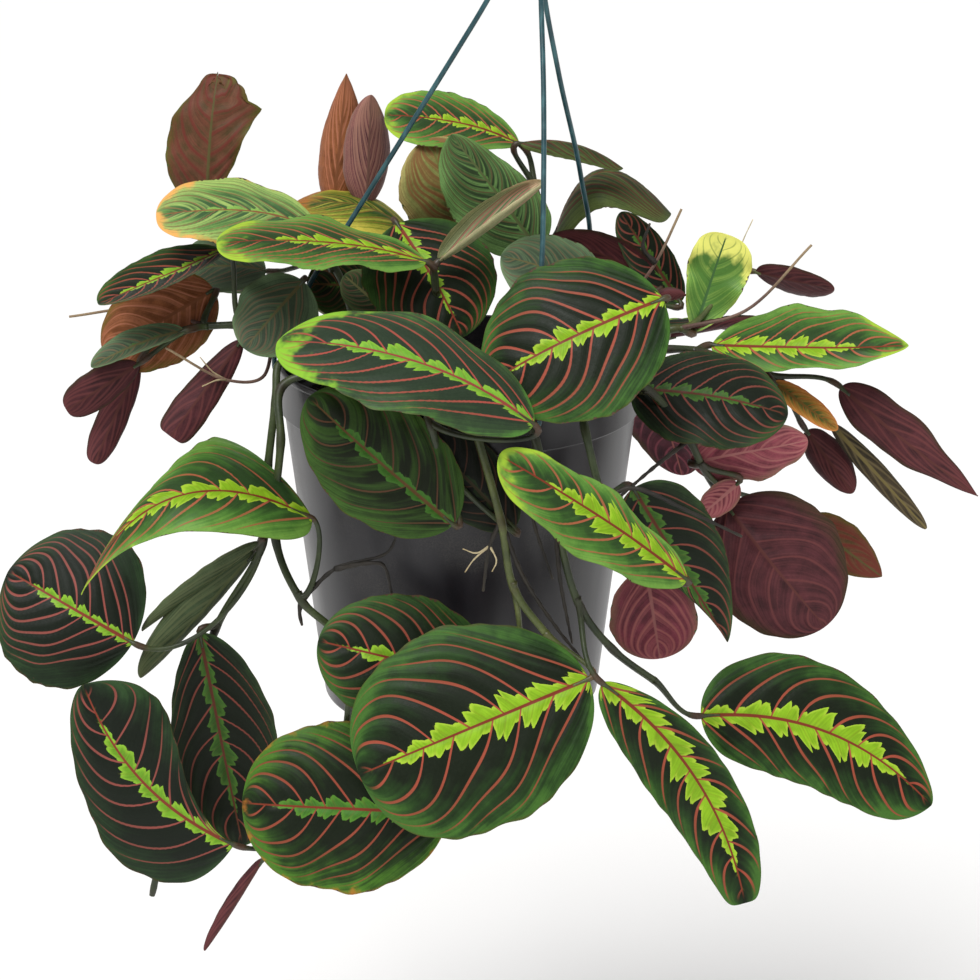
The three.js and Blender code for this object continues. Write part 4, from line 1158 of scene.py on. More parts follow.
    return effect("Prayer leaf upper side", inputs, build)


def leaf_under_effect():
    """Underside: burgundy or green with paler raised veins."""
    inputs = {
        "Body": paint("#5a2a35"),
        "Deep": paint("#371a22"),
        "Margin": paint("#4d3a2a"),
        "Vein": paint("#8c4450"),
        "Midrib": paint("#9a5a52"),
        "Vein width": 0.75,
        "Streaks": 0.0,
        "Blemish": 0.0,
        "Blemish colour": paint("#5d4a2a"),
        "Gloss": 0.5,
    }

    def build(kit, entry):
        way, _, near, gap, out, _ = vein_places(kit)
        s, a, _ = kit.split(kit.field("blade_place"))
        cloud, grain = leaf_noises(kit, 1.4, 10.0)
        lines, bands = vein_lines(kit, 14.0, 0.05), vein_lines(kit, 4.0, 0.04)
        colour = kit.mix(kit.ramp(cloud, 0.3, 0.7), entry["Body"], entry["Deep"])
        colour = kit.mix(kit.ramp(near, 0.42, 0.2) * 0.25, colour, entry["Body"])
        colour = kit.mix(kit.ramp(a + cloud * 0.2, 0.85, 1.1), colour, entry["Margin"])
        streak = kit.ramp(bands, 0.45, 0.6) * entry["Streaks"]
        colour = kit.mix(streak, colour, kit.mix(0.6, entry["Body"], entry["Vein"]))
        colour = kit.scaled(colour, kit.ramp(lines, 0.25, 0.75, 0.78, 1.24, False))
        colour = kit.scaled(colour, kit.ramp(grain, 0.3, 0.7, 0.88, 1.12, False))
        colour = kit.mix(blotches(kit, entry, cloud, grain), colour, entry["Blemish colour"])
        fade = kit.ramp(a, 0.98, 0.6, 0.0, 0.75) * kit.ramp(way, -0.35, -0.2)
        wide = entry["Vein width"]
        vein = kit.ramp(gap, wide, wide * 0.3) * fade
        colour = kit.mix(vein, colour, entry["Vein"])
        rib_width = kit.ramp(s, 0.0, 1.0, 1.0, 0.3, smooth=False)
        rib = kit.ramp(out, rib_width * 1.3, rib_width * 0.7)
        colour = kit.mix(rib * 0.85, colour, entry["Midrib"])
        rough = entry["Gloss"] + kit.ramp(grain, 0.3, 0.7, -0.05, 0.08, False)
        height = lines * 0.5 + grain * 0.5
        return {"Colour": colour, "Roughness": rough, "Height": height}

    return effect("Prayer leaf underside", inputs, build)


def stalk_effect():
    """Stems and stalks: streaked along their length, browner at sheath and knee."""
    inputs = {
        "Skin": paint("#222c1a"),
        "Streak": paint("#414e28"),
        "Sheath": paint("#2e2b1d"),
        "Knee": paint("#4c3226"),
        "Gloss": 0.42,
    }

    def build(kit, entry):
        _, knee, sheath = kit.split(kit.field("stalk_mark"))
        seed, run, _ = kit.split(kit.field("blade_seed"))
        spot = kit.place()
        streak = kit.noise(kit.join(run * 0.05, seed, 0.0), 1.0, 2.0)
        grain = kit.noise(spot, 900.0, 3.0, 0.6)
        patch = kit.noise(spot, 60.0, 3.0, 0.6)
        colour = kit.mix(kit.ramp(streak + patch * 0.5, 0.5, 1.0), entry["Skin"], entry["Streak"])
        colour = kit.mix(sheath * kit.ramp(patch, 0.35, 0.6), colour, entry["Sheath"])
        colour = kit.mix(knee * 0.8, colour, entry["Knee"])
        colour = kit.scaled(colour, kit.ramp(grain, 0.3, 0.7, 0.78, 1.22, False))
        rough = entry["Gloss"] + kit.ramp(grain, 0.3, 0.7, -0.05, 0.12, False)
        return {"Colour": colour, "Roughness": rough, "Height": grain}

    return effect("Stalk skin", inputs, build)


def moulded_effect():
    """Moulded plastic or a plastic coat: fine grain, faint lighter streaks of painted sheen, dust
    in patches.
    """
    inputs = {
        "Body": paint("#26252b"),
        "Worn": paint("#3a383f"),
        "Dust": paint("#6d675f"),
        "Dust amount": 0.2,
        "Scale": 1.0,
        "Gloss": 0.34,
    }

    def build(kit, entry):
        spot = kit.scaled(kit.place(), entry["Scale"])
        x, y, z = kit.split(spot)
        streak = kit.noise(kit.join(x * 60.0, y * 60.0, z * 5.0), 1.0, 3.0)
        grain = kit.noise(spot, 1400.0, 3.0, 0.6)
        patch = kit.noise(spot, 26.0, 5.0, 0.6)
        # the lighter streaks are painted sheen, standing in for reflections on the plastic
        colour = kit.mix(kit.ramp(streak, 0.4, 0.75), entry["Body"], entry["Worn"])
        dust = kit.ramp(patch, 0.48, 0.72) * entry["Dust amount"]
        dust = dust * kit.ramp(grain, 0.35, 0.65)
        colour = kit.mix(dust, colour, entry["Dust"])
        colour = kit.scaled(colour, kit.ramp(grain, 0.3, 0.7, 0.9, 1.1, False))
        rough = entry["Gloss"] + dust * 0.5
        rough = rough + kit.ramp(streak, 0.3, 0.7, -0.05, 0.07, False)
        return {"Colour": colour, "Roughness": rough, "Height": grain}

    return effect("Moulded plastic", inputs, build)


def soil_effect():
    """Potting mix: dark peat, brown fibre and a few pale grains."""
    inputs = {
        "Peat": paint("#1c130d"),
        "Fibre": paint("#4a3524"),
        "Grain": paint("#8a7a62"),
        "Gloss": 0.95,
    }

    def build(kit, entry):
        spot = kit.place()
        lump = kit.noise(spot, 160.0, 5.0, 0.65)
        fine = kit.noise(spot, 900.0, 4.0, 0.7)
        strand = kit.noise(spot, 420.0, 1.0, 0.3)
        colour = kit.mix(kit.ramp(lump, 0.4, 0.75), entry["Peat"], entry["Fibre"])
        colour = kit.mix(kit.ramp(strand, 0.72, 0.78), colour, entry["Grain"])
        colour = kit.scaled(colour, kit.ramp(fine, 0.3, 0.7, 0.55, 1.4, False))
        height = lump + fine * 0.6
        rough = entry["Gloss"] - kit.ramp(lump, 0.3, 0.7, 0.0, 0.12)
        return {"Colour": colour, "Roughness": rough, "Height": height}

    return effect("Potting mix", inputs, build)


# What sets each look apart: colours of the upper side, then of the underside.
LOOKS = {
    "vivid": dict(upper={}, under={}),
    "bright": dict(
        upper={"Dark": "#2c4422", "Middle": "#4a7630", "Margin": "#6e9a42", "Vein": "#b05c44",
               "Feather reach": 0.56, "Margin start": 0.5, "Vein width": 0.52,
               "Tip": 0.12, "Tip colour": "#a4c83c", "Feather end": 0.86},
        under={"Body": "#4c3630", "Deep": "#3a2a24"},
    ),
    "green": dict(
        upper={"Dark": "#161f11", "Middle": "#253c1b", "Margin": "#3b5f27", "Vein": "#9c4c3c",
               "Feather": "#80b02a", "Feather edge": "#98c238", "Feather reach": 0.52,
               "Vein width": 0.52},
        under={"Body": "#442a2e", "Deep": "#2e1c22"},
    ),
    "dark": dict(
        upper={"Dark": "#191f17", "Middle": "#233320", "Margin": "#314a2a", "Vein": "#985048",
               "Midrib": "#843c2c", "Feather": "#74a82c", "Feather edge": "#92c03a",
               "Feather reach": 0.46, "Vein width": 0.5, "Margin start": 0.75,
               "Feather end": 0.95},
        under={},
    ),
    "dim": dict(
        upper={"Dark": "#191f16", "Middle": "#253120", "Margin": "#364e2a", "Vein": "#83443a",
               "Midrib": "#5c3426", "Feather": "#3c5e28", "Feather edge": "#4a722c",
               "Feather reach": 0.46, "Vein width": 0.46, "Margin start": 0.72},
        under={},
    ),
    # A greyer, paler lamina: partly the leaf's duller tone and partly a painted grey-green sheen.
    "dusky": dict(
        upper={"Dark": "#2c3a2a", "Middle": "#3a4f32", "Margin": "#54843a", "Vein": "#b25248",
               "Midrib": "#94463c", "Feather": "#74ac36", "Feather edge": "#8cbc3c",
               "Feather reach": 0.36, "Vein width": 0.52, "Margin start": 0.75, "Gloss": 0.4,
               "Tip": 0.16, "Tip colour": "#8cc038"},
        under={},
    ),
    "shaded": dict(
        upper={"Dark": "#171e0f", "Middle": "#253618", "Margin": "#3c5c24", "Vein": "#5a3a2a",
               "Midrib": "#5c4426", "Feather": "#386420", "Feather edge": "#42702a",
               "Feather reach": 0.3, "Vein width": 0.4, "Margin start": 0.5, "Streaks": 0.5},
        under={"Body": "#30261f"},
    ),
    # A darkened copy of the leaf colours, upper side and underside: painted shade for a leaf deep
    # among the others.
    "night": dict(
        upper={"Dark": "#10140c", "Middle": "#1a2414", "Margin": "#34482a", "Vein": "#4c3024",
               "Midrib": "#3c3420", "Feather": "#1c2c14", "Feather edge": "#24381a",
               "Feather reach": 0.2, "Vein width": 0.4, "Margin start": 0.8},
        under={"Body": "#261c18", "Deep": "#1c1410"},
    ),
    "dull": dict(
        upper={"Dark": "#3c4a38", "Middle": "#54684c", "Margin": "#6a845c", "Vein": "#6a5a44",
               "Midrib": "#5f5a3a", "Feather": "#4c7038", "Feather edge": "#4c7038",
               "Feather reach": 0.2, "Vein width": 0.42, "Streaks": 0.45, "Gloss": 0.5},
        under={"Body": "#4a4030", "Deep": "#342f24", "Vein": "#6c6044", "Midrib": "#74683f"},
    ),
    "streaky": dict(
        upper={"Dark": "#2c3c24", "Middle": "#48653a", "Margin": "#6a8f50", "Vein": "#5a5034",
               "Midrib": "#56603a", "Feather": "#5c8444", "Feather edge": "#5c8444",
               "Feather reach": 0.2, "Vein width": 0.4, "Streaks": 1.0, "Margin start": 0.5},
        under={"Body": "#5c5038", "Deep": "#40402a", "Vein": "#74704a", "Midrib": "#74703f"},
    ),
    "bleached": dict(
        upper={"Dark": "#40603a", "Middle": "#74a052", "Margin": "#a8c46c", "Vein": "#8c6848",
               "Midrib": "#8c5c3c", "Feather": "#7cac50", "Feather edge": "#8cb858",
               "Feather reach": 0.24, "Margin start": 0.42, "Blemish": 0.72, "Streaks": 0.85,
               "Blemish colour": "#c08038", "Tip": 0.14, "Tip colour": "#ecb060",
               "Vein width": 0.42},
        under={"Body": "#5c5030", "Deep": "#4a462a", "Vein": "#74703f", "Midrib": "#7c7a44"},
    ),
    "yellowed": dict(
        upper={"Dark": "#34501f", "Middle": "#84942e", "Margin": "#d0c050", "Vein": "#7c5a2c",
               "Midrib": "#6c5c2c", "Feather": "#8ca03c", "Feather edge": "#8ca03c",
               "Feather reach": 0.1, "Margin start": 0.45, "Blemish": 0.75, "Streaks": 0.6,
               "Blemish colour": "#a8702c", "Tip": 0.3, "Tip colour": "#a4682c",
               "Vein width": 0.34},
        under={"Body": "#6a642c", "Deep": "#585624", "Vein": "#847e3c", "Midrib": "#868444"},
    ),
    "scorched": dict(
        upper={"Dark": "#4c5c2c", "Middle": "#c08c3c", "Margin": "#d08c48", "Vein": "#a8642c",
               "Midrib": "#7c5c2c", "Feather": "#7c8c3c", "Feather edge": "#7c8c3c",
               "Feather reach": 0.1, "Margin start": 0.4, "Blemish": 0.8, "Streaks": 0.4,
               "Blemish colour": "#d8783c", "Vein width": 0.34},
        under={"Body": "#5a4a2c", "Deep": "#4a3a24"},
    ),
    "pale": dict(
        upper={"Dark": "#527c36", "Middle": "#76a04a", "Margin": "#a4c05c", "Vein": "#4c7430",
               "Midrib": "#44683a", "Feather": "#648f3a", "Feather edge": "#648f3a",
               "Feather reach": 0.12, "Margin start": 0.75, "Blemish": 0.5, "Streaks": 0.35,
               "Blemish colour": "#c8cc48", "Tip": 0.34, "Tip colour": "#f0f07c",
               "Vein width": 0.34, "Gloss": 0.36},
        under={"Body": "#5c8438", "Deep": "#4c742f", "Vein": "#74944c", "Midrib": "#7c9c50"},
    ),
    "bronze_back": dict(
        upper={"Feather": "#6c9030", "Feather edge": "#6c9030", "Feather reach": 0.3},
        under={"Body": "#6a4432", "Deep": "#4c3c24", "Margin": "#54501f", "Vein": "#6c3028",
               "Midrib": "#565430", "Vein width": 1.1, "Streaks": 0.5, "Blemish": 0.7,
               "Blemish colour": "#5c5a26", "Gloss": 0.5},
    ),
    "rust": dict(
        upper={"Dark": "#6c3420", "Middle": "#7c3f24", "Margin": "#8c4c28", "Vein": "#5c281c",
               "Feather": "#7c4a24", "Feather edge": "#6c4020", "Feather reach": 0.2},
        under={"Body": "#925a38", "Deep": "#6e4024", "Margin": "#74602a", "Vein": "#b8765a",
               "Midrib": "#7c4c30", "Blemish": 0.6, "Blemish colour": "#5c6428",
               "Streaks": 0.5, "Vein width": 0.5},
    ),
    "maroon_back": dict(
        upper={"Dark": "#26201a", "Middle": "#332c20", "Margin": "#403828", "Vein": "#6c3430",
               "Feather": "#46602c", "Feather edge": "#46602c", "Feather reach": 0.2},
        under={"Body": "#532c30", "Deep": "#3c2124", "Margin": "#3c3020", "Vein": "#6a3a3a",
               "Midrib": "#5a332f", "Streaks": 0.25, "Blemish": 0.3, "Blemish colour": "#3c4a24"},
    ),
    "mauve_back": dict(
        upper={"Dark": "#3a2a24", "Middle": "#4c3c2c"},
        under={"Body": "#7c4c4c", "Deep": "#54303a", "Margin": "#84685a", "Vein": "#a87c6c",
               "Midrib": "#7c5a50", "Streaks": 1.0, "Blemish": 0.4, "Blemish colour": "#84684a"},
    ),
    "plum_edge": dict(
        upper={"Dark": "#333a26", "Middle": "#4c5a34", "Margin": "#64743e", "Vein": "#5c2c28",
               "Midrib": "#643c28", "Feather": "#4c6a2c", "Feather edge": "#4c6a2c",
               "Feather reach": 0.2, "Vein width": 0.4, "Streaks": 0.8, "Blemish": 0.55,
               "Blemish colour": "#4c2022", "Margin start": 0.5},
        under={"Body": "#4c2c2c", "Deep": "#33201c", "Vein": "#643c38", "Streaks": 0.6},
    ),
    "pink_back": dict(
        upper={"Dark": "#2c2a22", "Middle": "#3a3626"},
        under={"Body": "#7c3a46", "Deep": "#5c2c34", "Margin": "#7c5a4a", "Vein": "#a0605c",
               "Midrib": "#94605c", "Gloss": 0.42, "Streaks": 0.5},
    ),
    "rose_back": dict(
        upper={"Dark": "#2c2a22", "Middle": "#3a3626"},
        under={"Body": "#9c4e5a", "Deep": "#6e343e", "Margin": "#8c6a58", "Vein": "#b4706e",
               "Midrib": "#b07470", "Gloss": 0.42, "Streaks": 0.4},
    ),
    "yellow_back": dict(
        upper={},
        under={"Body": "#969a58", "Deep": "#646e3a", "Margin": "#c4b874", "Vein": "#8a5638",
               "Midrib": "#787a40", "Vein width": 1.0, "Streaks": 1.0, "Blemish": 0.6,
               "Blemish colour": "#98824a"},
    ),
    "orange_tip": dict(
        upper={"Dark": "#151d10", "Middle": "#263e19", "Margin": "#4a7626", "Vein": "#9a4a38",
               "Feather": "#46782a", "Feather edge": "#5a8c30", "Feather reach": 0.5,
               "Margin start": 0.6, "Blemish": 0.62, "Blemish colour": "#b8702c",
               "Vein width": 0.52},
        under={},
    ),
    "furled": dict(
        upper={"Dark": "#2c3c24", "Middle": "#46603a", "Margin": "#64784a", "Vein": "#6c4c3c",
               "Midrib": "#6c6c40", "Feather": "#587c30", "Feather edge": "#587c30",
               "Feather reach": 0.2, "Vein width": 0.34, "Streaks": 0.7, "Gloss": 0.46},
        under={"Body": "#46563a", "Deep": "#35422a", "Margin": "#56603c", "Vein": "#5c6444",
               "Midrib": "#646c48", "Streaks": 0.7},
    ),
    "blush": dict(
        upper={"Dark": "#5c6c48", "Middle": "#84986a", "Margin": "#c4c094", "Vein": "#a4685c",
               "Midrib": "#a8685c", "Feather": "#7c9c48", "Feather edge": "#7c9c48",
               "Feather reach": 0.2, "Vein width": 0.4, "Streaks": 0.8, "Tip": 0.2,
               "Tip colour": "#d8c49c"},
        under={"Body": "#909c70", "Deep": "#6c7a50", "Margin": "#ccc698", "Vein": "#b08870",
               "Midrib": "#a48c68", "Streaks": 0.7},
    ),
}


# The stalks' looks: the strength of their bump, and the colours that differ.
STALK_LOOKS = {
    "stalk_green": (0.2, {}),
    "stalk_young": (0.2, {"Skin": "#36401f", "Streak": "#66703a", "Sheath": "#44401f",
                          "Knee": "#6a4a34"}),
    "stalk_dry": (0.3, {"Skin": "#4c3430", "Streak": "#84685a", "Sheath": "#5c4438",
                        "Knee": "#a08a68", "Gloss": 0.7}),
    "stalk_dead": (0.3, {"Skin": "#17140f", "Streak": "#2c261c", "Sheath": "#1c1812",
                         "Knee": "#3c3426", "Gloss": 0.6}),
    "stalk_straw": (0.3, {"Skin": "#a89470", "Streak": "#d8cba4", "Sheath": "#6a5436",
                          "Knee": "#c8b484", "Gloss": 0.7}),
}


def finish_values(look):
    """A look with its hex colours turned into what shaders use."""
    return {
        label: paint(value) if isinstance(value, str) else value for label, value in look.items()
    }


def leaf_finishes(look):
    """The upper and the under material of a look."""
    made = []
    for face, group in (("upper", leaf_upper_effect()), ("under", leaf_under_effect())):
        values = finish_values(LOOKS[look][face])
        made.append(finish_of(f"leaf_{look}_{face}", group, values, specular=0.14, bump=0.25))
    return made


# ---- settings ---------------------------------------------------------------------


class PrayerPlantLeaves(bpy.types.PropertyGroup):
    """Sizes of the blades, in millimetres like the plant's own places."""

    cell: bpy.props.FloatProperty(
        name="Cell", description="Mesh cell of a blade, in millimetres", default=1.3, min=0.6
    )
    thickness: bpy.props.FloatProperty(
        name="Thickness", description="Blade thickness, in millimetres", default=0.5, min=0.2
    )
    swell: bpy.props.FloatProperty(
        name="Swell", description="Rise of the lamina between veins, in millimetres", default=0.75
    )
    groove: bpy.props.FloatProperty(
        name="Groove", description="Depth of a vein in the upper side, in millimetres",
        default=0.35,
    )


class PrayerPlantPot(bpy.types.PropertyGroup):
    """Colours of the pot and its soil."""

    body: bpy.props.FloatVectorProperty(
        name="Plastic", description="Colour of the pot", subtype="COLOR", size=4,
        default=paint("#121116"), min=0, max=1,
    )
    peat: bpy.props.FloatVectorProperty(
        name="Peat", description="Colour of the potting mix", subtype="COLOR", size=4,
        default=paint("#1c130d"), min=0, max=1,
    )
    crumbs: bpy.props.IntProperty(
        name="Crumbs", description="Loose lumps on the soil", default=170, min=0
    )


class PrayerPlantHanger(bpy.types.PropertyGroup):
    """Colour of the coated wires and hook."""

    coat: bpy.props.FloatVectorProperty(
        name="Coating", description="Colour of the wires' coating", subtype="COLOR", size=4,
        default=paint("#1f444b"), min=0, max=1,
    )


class PrayerPlantStage(bpy.types.PropertyGroup):
    """Floor, light and camera."""

    floor: bpy.props.FloatProperty(
        name="Floor", description="Height of the floor under the hook", default=-0.78,
        unit="LENGTH",
    )
    light: bpy.props.FloatProperty(
        name="Light", description="Strength of the soft key light", default=2.6, min=0
    )
    fill: bpy.props.FloatProperty(
        name="Fill", description="Power of each side light", default=1.6, min=0, unit="POWER"
    )
    sky: bpy.props.FloatProperty(
        name="Sky", description="Strength of the white surround", default=0.4, min=0
    )
    distance: bpy.props.FloatProperty(
        name="Distance", description="Camera to plant", default=1.3, unit="LENGTH"
    )
    elevation: bpy.props.FloatProperty(
        name="Elevation", description="Height angle of the camera",
        default=math.radians(18), subtype="ANGLE",
    )


class PrayerPlant(bpy.types.PropertyGroup):
    """All settings of the plant."""

    leaves: bpy.props.PointerProperty(type=PrayerPlantLeaves, name="Leaves", description="Blades")
    pot: bpy.props.PointerProperty(type=PrayerPlantPot, name="Pot", description="Pot and soil")
    hanger: bpy.props.PointerProperty(type=PrayerPlantHanger, name="Hanger", description="Wires")
    stage: bpy.props.PointerProperty(type=PrayerPlantStage, name="Stage", description="Stage")


# ---- operators --------------------------------------------------------------------


class PRAYERPLANT_OT_leaves(bpy.types.Operator):
    """Adds the blades of every leafy stem"""

    bl_idname = "prayer_plant.leaves"
    bl_label = "Leaf blades"

    def execute(self, context):
        settings = context.scene.prayer_plant.leaves
        for order, (name, stem) in enumerate(STEMS.items()):
            skin = Skin()
            for number, leaf in enumerate(stem["leaves"]):
                upper, under = leaf_finishes(leaf["look"])
                seed = (STEM_STEP * order + LEAF_STEP * number) % 1
                blade(skin, leaf, upper, under, seed, settings)
            skin.piece(f"leafy_stem_{name}_blades", "foliage", f"leafy_stem_{name}")
        return {"FINISHED"}


class PRAYERPLANT_OT_stalks(bpy.types.Operator):
    """Adds the stems, leaf stalks and dry twigs"""

    bl_idname = "prayer_plant.stalks"
    bl_label = "Stems and stalks"

    def execute(self, context):
        skins = {
            name: finish_of(name, stalk_effect(), finish_values(look), bump=bump)
            for name, (bump, look) in STALK_LOOKS.items()
        }
        for order, (name, stem) in enumerate(STEMS.items()):
            skin = Skin()
            green = skins["stalk_young" if name in YOUNG_STEMS else "stalk_green"]
            seed, dry_seed = order * STEM_STEP, order * TWIG_STEP
            stem_skin(skin, stem, green, seed)
            for number, leaf in enumerate(stem["leaves"]):
                stalk(skin, stem, leaf, green, seed + number * LEAF_STEP)
            for at, path in stem.get("twigs", ()):
                twig(skin, sprout(stem, at)[0], path, skins["stalk_dry"], dry_seed)
            for path in stem.get("wisps", ()):
                wisp(skin, path, skins["stalk_dead"], dry_seed, 1.0)
            for path in stem.get("straws", ()):
                wisp(skin, path, skins["stalk_straw"], dry_seed, STRAW_SIZE)
            skin.piece(f"leafy_stem_{name}_stalks", "foliage", f"leafy_stem_{name}")
        return {"FINISHED"}


def wall_radius(height):
    """The pot's outer radius at a height below its collar."""
    share = height / (POT_HEIGHT - POT_COLLAR_HEIGHT)
    return POT_BASE_RADIUS + (POT_WALL_TOP_RADIUS - POT_BASE_RADIUS) * share


def rounded(corner_from, corner, corner_to, radius, steps=5):
    """Points that round a corner of a profile."""
    a, b, c = (np.array(p, float) for p in (corner_from, corner, corner_to))
    start, end = b + unit(a - b) * radius, b + unit(c - b) * radius
    u = np.linspace(0, 1, steps + 1)[:, None]
    return [tuple(p) for p in (1 - u) ** 2 * start + 2 * u * (1 - u) * b + u * u * end]


def at_angle(angle, radius, height):
    """A point round the pot's axis, at an angle in degrees."""
    turn = math.radians(angle)
    return np.array([radius * math.cos(turn), radius * math.sin(turn), height])


def pot_profile():
    """The pot's outline, from the middle of its underside round to the middle of its floor."""
    step = POT_HEIGHT - POT_COLLAR_HEIGHT
    base, lip, inner = POT_BASE_RADIUS, POT_COLLAR_RADIUS, POT_COLLAR_RADIUS - POT_WALL
    # each corner's radius and height, and how far it is rounded
    corners = [
        (base - 8, 0.0, 0), (base - 7.2, 0.8, 0.4), (base - 4.6, 0.8, 0.4),
        (base - 4.2, 0.0, 0.3), (base + 0.1, 0.0, 2.6),
        (wall_radius(step), step - 0.6, 0.5), (lip - 0.2, step + 0.3, 0.4),
        (lip - 0.1, POT_HEIGHT - 2.6, 0.5), (lip + 0.35, POT_HEIGHT - 2.1, 0.4),
        (lip + 0.35, POT_HEIGHT, 0.7), (inner, POT_HEIGHT, 0.6), (inner - 0.4, step + 1.5, 0.6),
        (wall_radius(step) - POT_WALL, step - 1.5, 0.6),
        (wall_radius(POT_FLOOR) - POT_WALL, POT_FLOOR, 0.8),
    ]
    points = [(0, 0), *((radius, height) for radius, height, _ in corners), (0, POT_FLOOR)]
    profile = points[:1]
    for k, (radius, height, bend) in enumerate(corners):
        if bend:
            profile.extend(rounded(*points[k : k + 3], bend))
        else:
            profile.append((radius, height))
    return [*profile, points[-1]]


class PRAYERPLANT_OT_pot(bpy.types.Operator):
    """Adds the tapered pot with its stepped collar and wire holes"""

    bl_idname = "prayer_plant.pot"
    bl_label = "Pot"

    def execute(self, context):
        settings = context.scene.prayer_plant.pot
        # the lighter grey is painted sheen, in faint streaks on the dark plastic
        values = finish_values({"Body": tuple(settings.body), "Worn": "#222126"})
        plastic = finish_of("pot_plastic", moulded_effect(), values, bump=0.12, reach=0.0002)
        skin = Skin()
        turned(skin, pot_profile(), POT_SIDES, plastic)
        pot = skin.piece("pot_shell", "pot", "pot")
        bars = [
            [at_angle(angle, POT_COLLAR_RADIUS + end, RIM_HOLE_HEIGHT) for end in (-5, 5)]
            for angle in WIRE_ANGLES.values()
        ]
        drill(pot, bars, RIM_HOLE_RADIUS)
        return {"FINISHED"}


def drill(thing, bars, radius):
    """Cuts round holes through a piece, between pairs of points."""
    skin = Skin()
    for start, end in bars:
        tube(skin, np.linspace(start, end, 3), radius, 20, thing.data.materials[0])
    cutter = skin.piece("cutter", "pot")
    change = thing.modifiers.new("holes", "BOOLEAN")
    change.operation, change.object, change.solver = "DIFFERENCE", cutter, "EXACT"
    ready = thing.evaluated_get(bpy.context.evaluated_depsgraph_get())
    mesh = bpy.data.meshes.new_from_object(ready)
    thing.modifiers.clear()
    old, thing.data = thing.data, mesh
    mesh.name = thing.name
    bpy.data.meshes.remove(old)
    bpy.data.objects.remove(cutter)


def bumpy(x, y):
    """The soil's soft uneven height, in millimetres."""
    return 0.8 * (
        1.1 * np.sin(0.11 * x + 2.21) * np.sin(0.13 * y + 1.3)
        + 0.7 * np.sin(0.27 * x - 0.19 * y + 1.3)
        + 0.4 * np.sin(0.61 * x + 0.43 * y) * np.sin(0.53 * y - 0.37 * x)
        + 0.25 * np.sin(1.31 * x + 0.3) * np.sin(1.17 * y + 1.1)
    )


class PRAYERPLANT_OT_soil(bpy.types.Operator):
    """Adds the soil that fills the pot, with loose crumbs on it"""

    bl_idname = "prayer_plant.soil"
    bl_label = "Soil"

    def execute(self, context):
        settings = context.scene.prayer_plant.pot
        mix = finish_of(
            "potting_mix", soil_effect(), {"Peat": tuple(settings.peat)},
            specular=0.2, bump=0.9, reach=0.0012,
        )
        top_radius = self.reach(SOIL_EDGE)
        low = POT_FLOOR + SOIL_GAP
        profile = [(0, low), *((self.reach(h), h) for h in (low, 50, 95, 125))]
        inwards = np.arange(SOIL_RINGS) / SOIL_RINGS
        profile += [(top_radius * (1 - share), SOIL_EDGE) for share in inwards]
        profile.append((0, SOIL_EDGE))
        skin = Skin()
        turned(skin, profile, SOIL_SIDES, mix)
        points = skin.points[0]
        radius = np.hypot(points[:, 0], points[:, 1])
        on_top = points[:, 2] > SOIL_EDGE - 0.01
        share = np.clip(radius / top_radius, 0, 1)
        rough = bumpy(points[:, 0], points[:, 1]) * np.clip((1 - share) * 9, 0.1, 1)
        points[:, 2] += np.where(on_top, self.mound(share) + rough - 0.3, 0)
        skin.piece("soil_bed", "soil", "soil")
        self.crumbs(settings.crumbs, top_radius, mix)
        return {"FINISHED"}

    def reach(self, height):
        """The soil's radius inside the pot's wall."""
        return wall_radius(height) - POT_WALL - SOIL_GAP

    def mound(self, share):
        """How far the soil rises towards the middle, at a share of its radius."""
        return (SOIL_CROWN - SOIL_EDGE) * (1 - share**2) * 0.9

    def crumbs(self, count, top_radius, mix):
        """Small lumps half sunk in the surface."""
        chance = np.random.default_rng(CRUMB_SEED)
        skin = Skin()
        for _ in range(count):
            angle, share = chance.uniform(0, 2 * np.pi), chance.uniform(0, 0.95) ** 0.5
            x, y = top_radius * share * np.cos(angle), top_radius * share * np.sin(angle)
            size = chance.uniform(0.9, 2.6)
            z = SOIL_EDGE + self.mound(share) + bumpy(x, y) + size * 0.2
            lump(skin, (x, y, z), size, chance, mix)
        skin.piece("soil_crumbs", "soil", "soil")


def lump(skin, centre, size, chance, material):
    """A small uneven rounded lump."""
    rows, columns = 5, 8
    tall = np.linspace(0, np.pi, rows + 2)[1:-1]
    shape = rings_of(np.sin(tall), np.cos(tall), columns)
    shape = np.concatenate([shape, [(0, 0, 1), (0, 0, -1)]])
    shape *= chance.uniform(0.75, 1.2, (len(shape), 1)) * size * chance.uniform(0.6, 1.2, 3)
    # the rings run downwards, so the faces are turned over
    faces = [(face[0], *face[:0:-1]) for face in ring_faces(rows, columns)]
    skin.add(shape + np.array(centre), faces, material)


# The points that each wire passes between the neck and the pot.
WIRE_WAY = {
    "left": [(13, 0, 333), (-1, 0, 310), (-49, 4, 233), (-73, 8, 194)],
    "front": [(37, -10, 334), (38, -26, 298), (38, -42, 262), (37, -58, 222)],
    "right": [(38, 8, 340), (46, 18, 296), (57, 38, 246), (62, 54, 204)],
}


def neck_place(angle, height):
    """Where a wire runs in the neck, on the side of its hole in the pot."""
    return at_angle(angle, NECK_SPREAD, height) + np.array([ORIGIN[0], 0, 0])


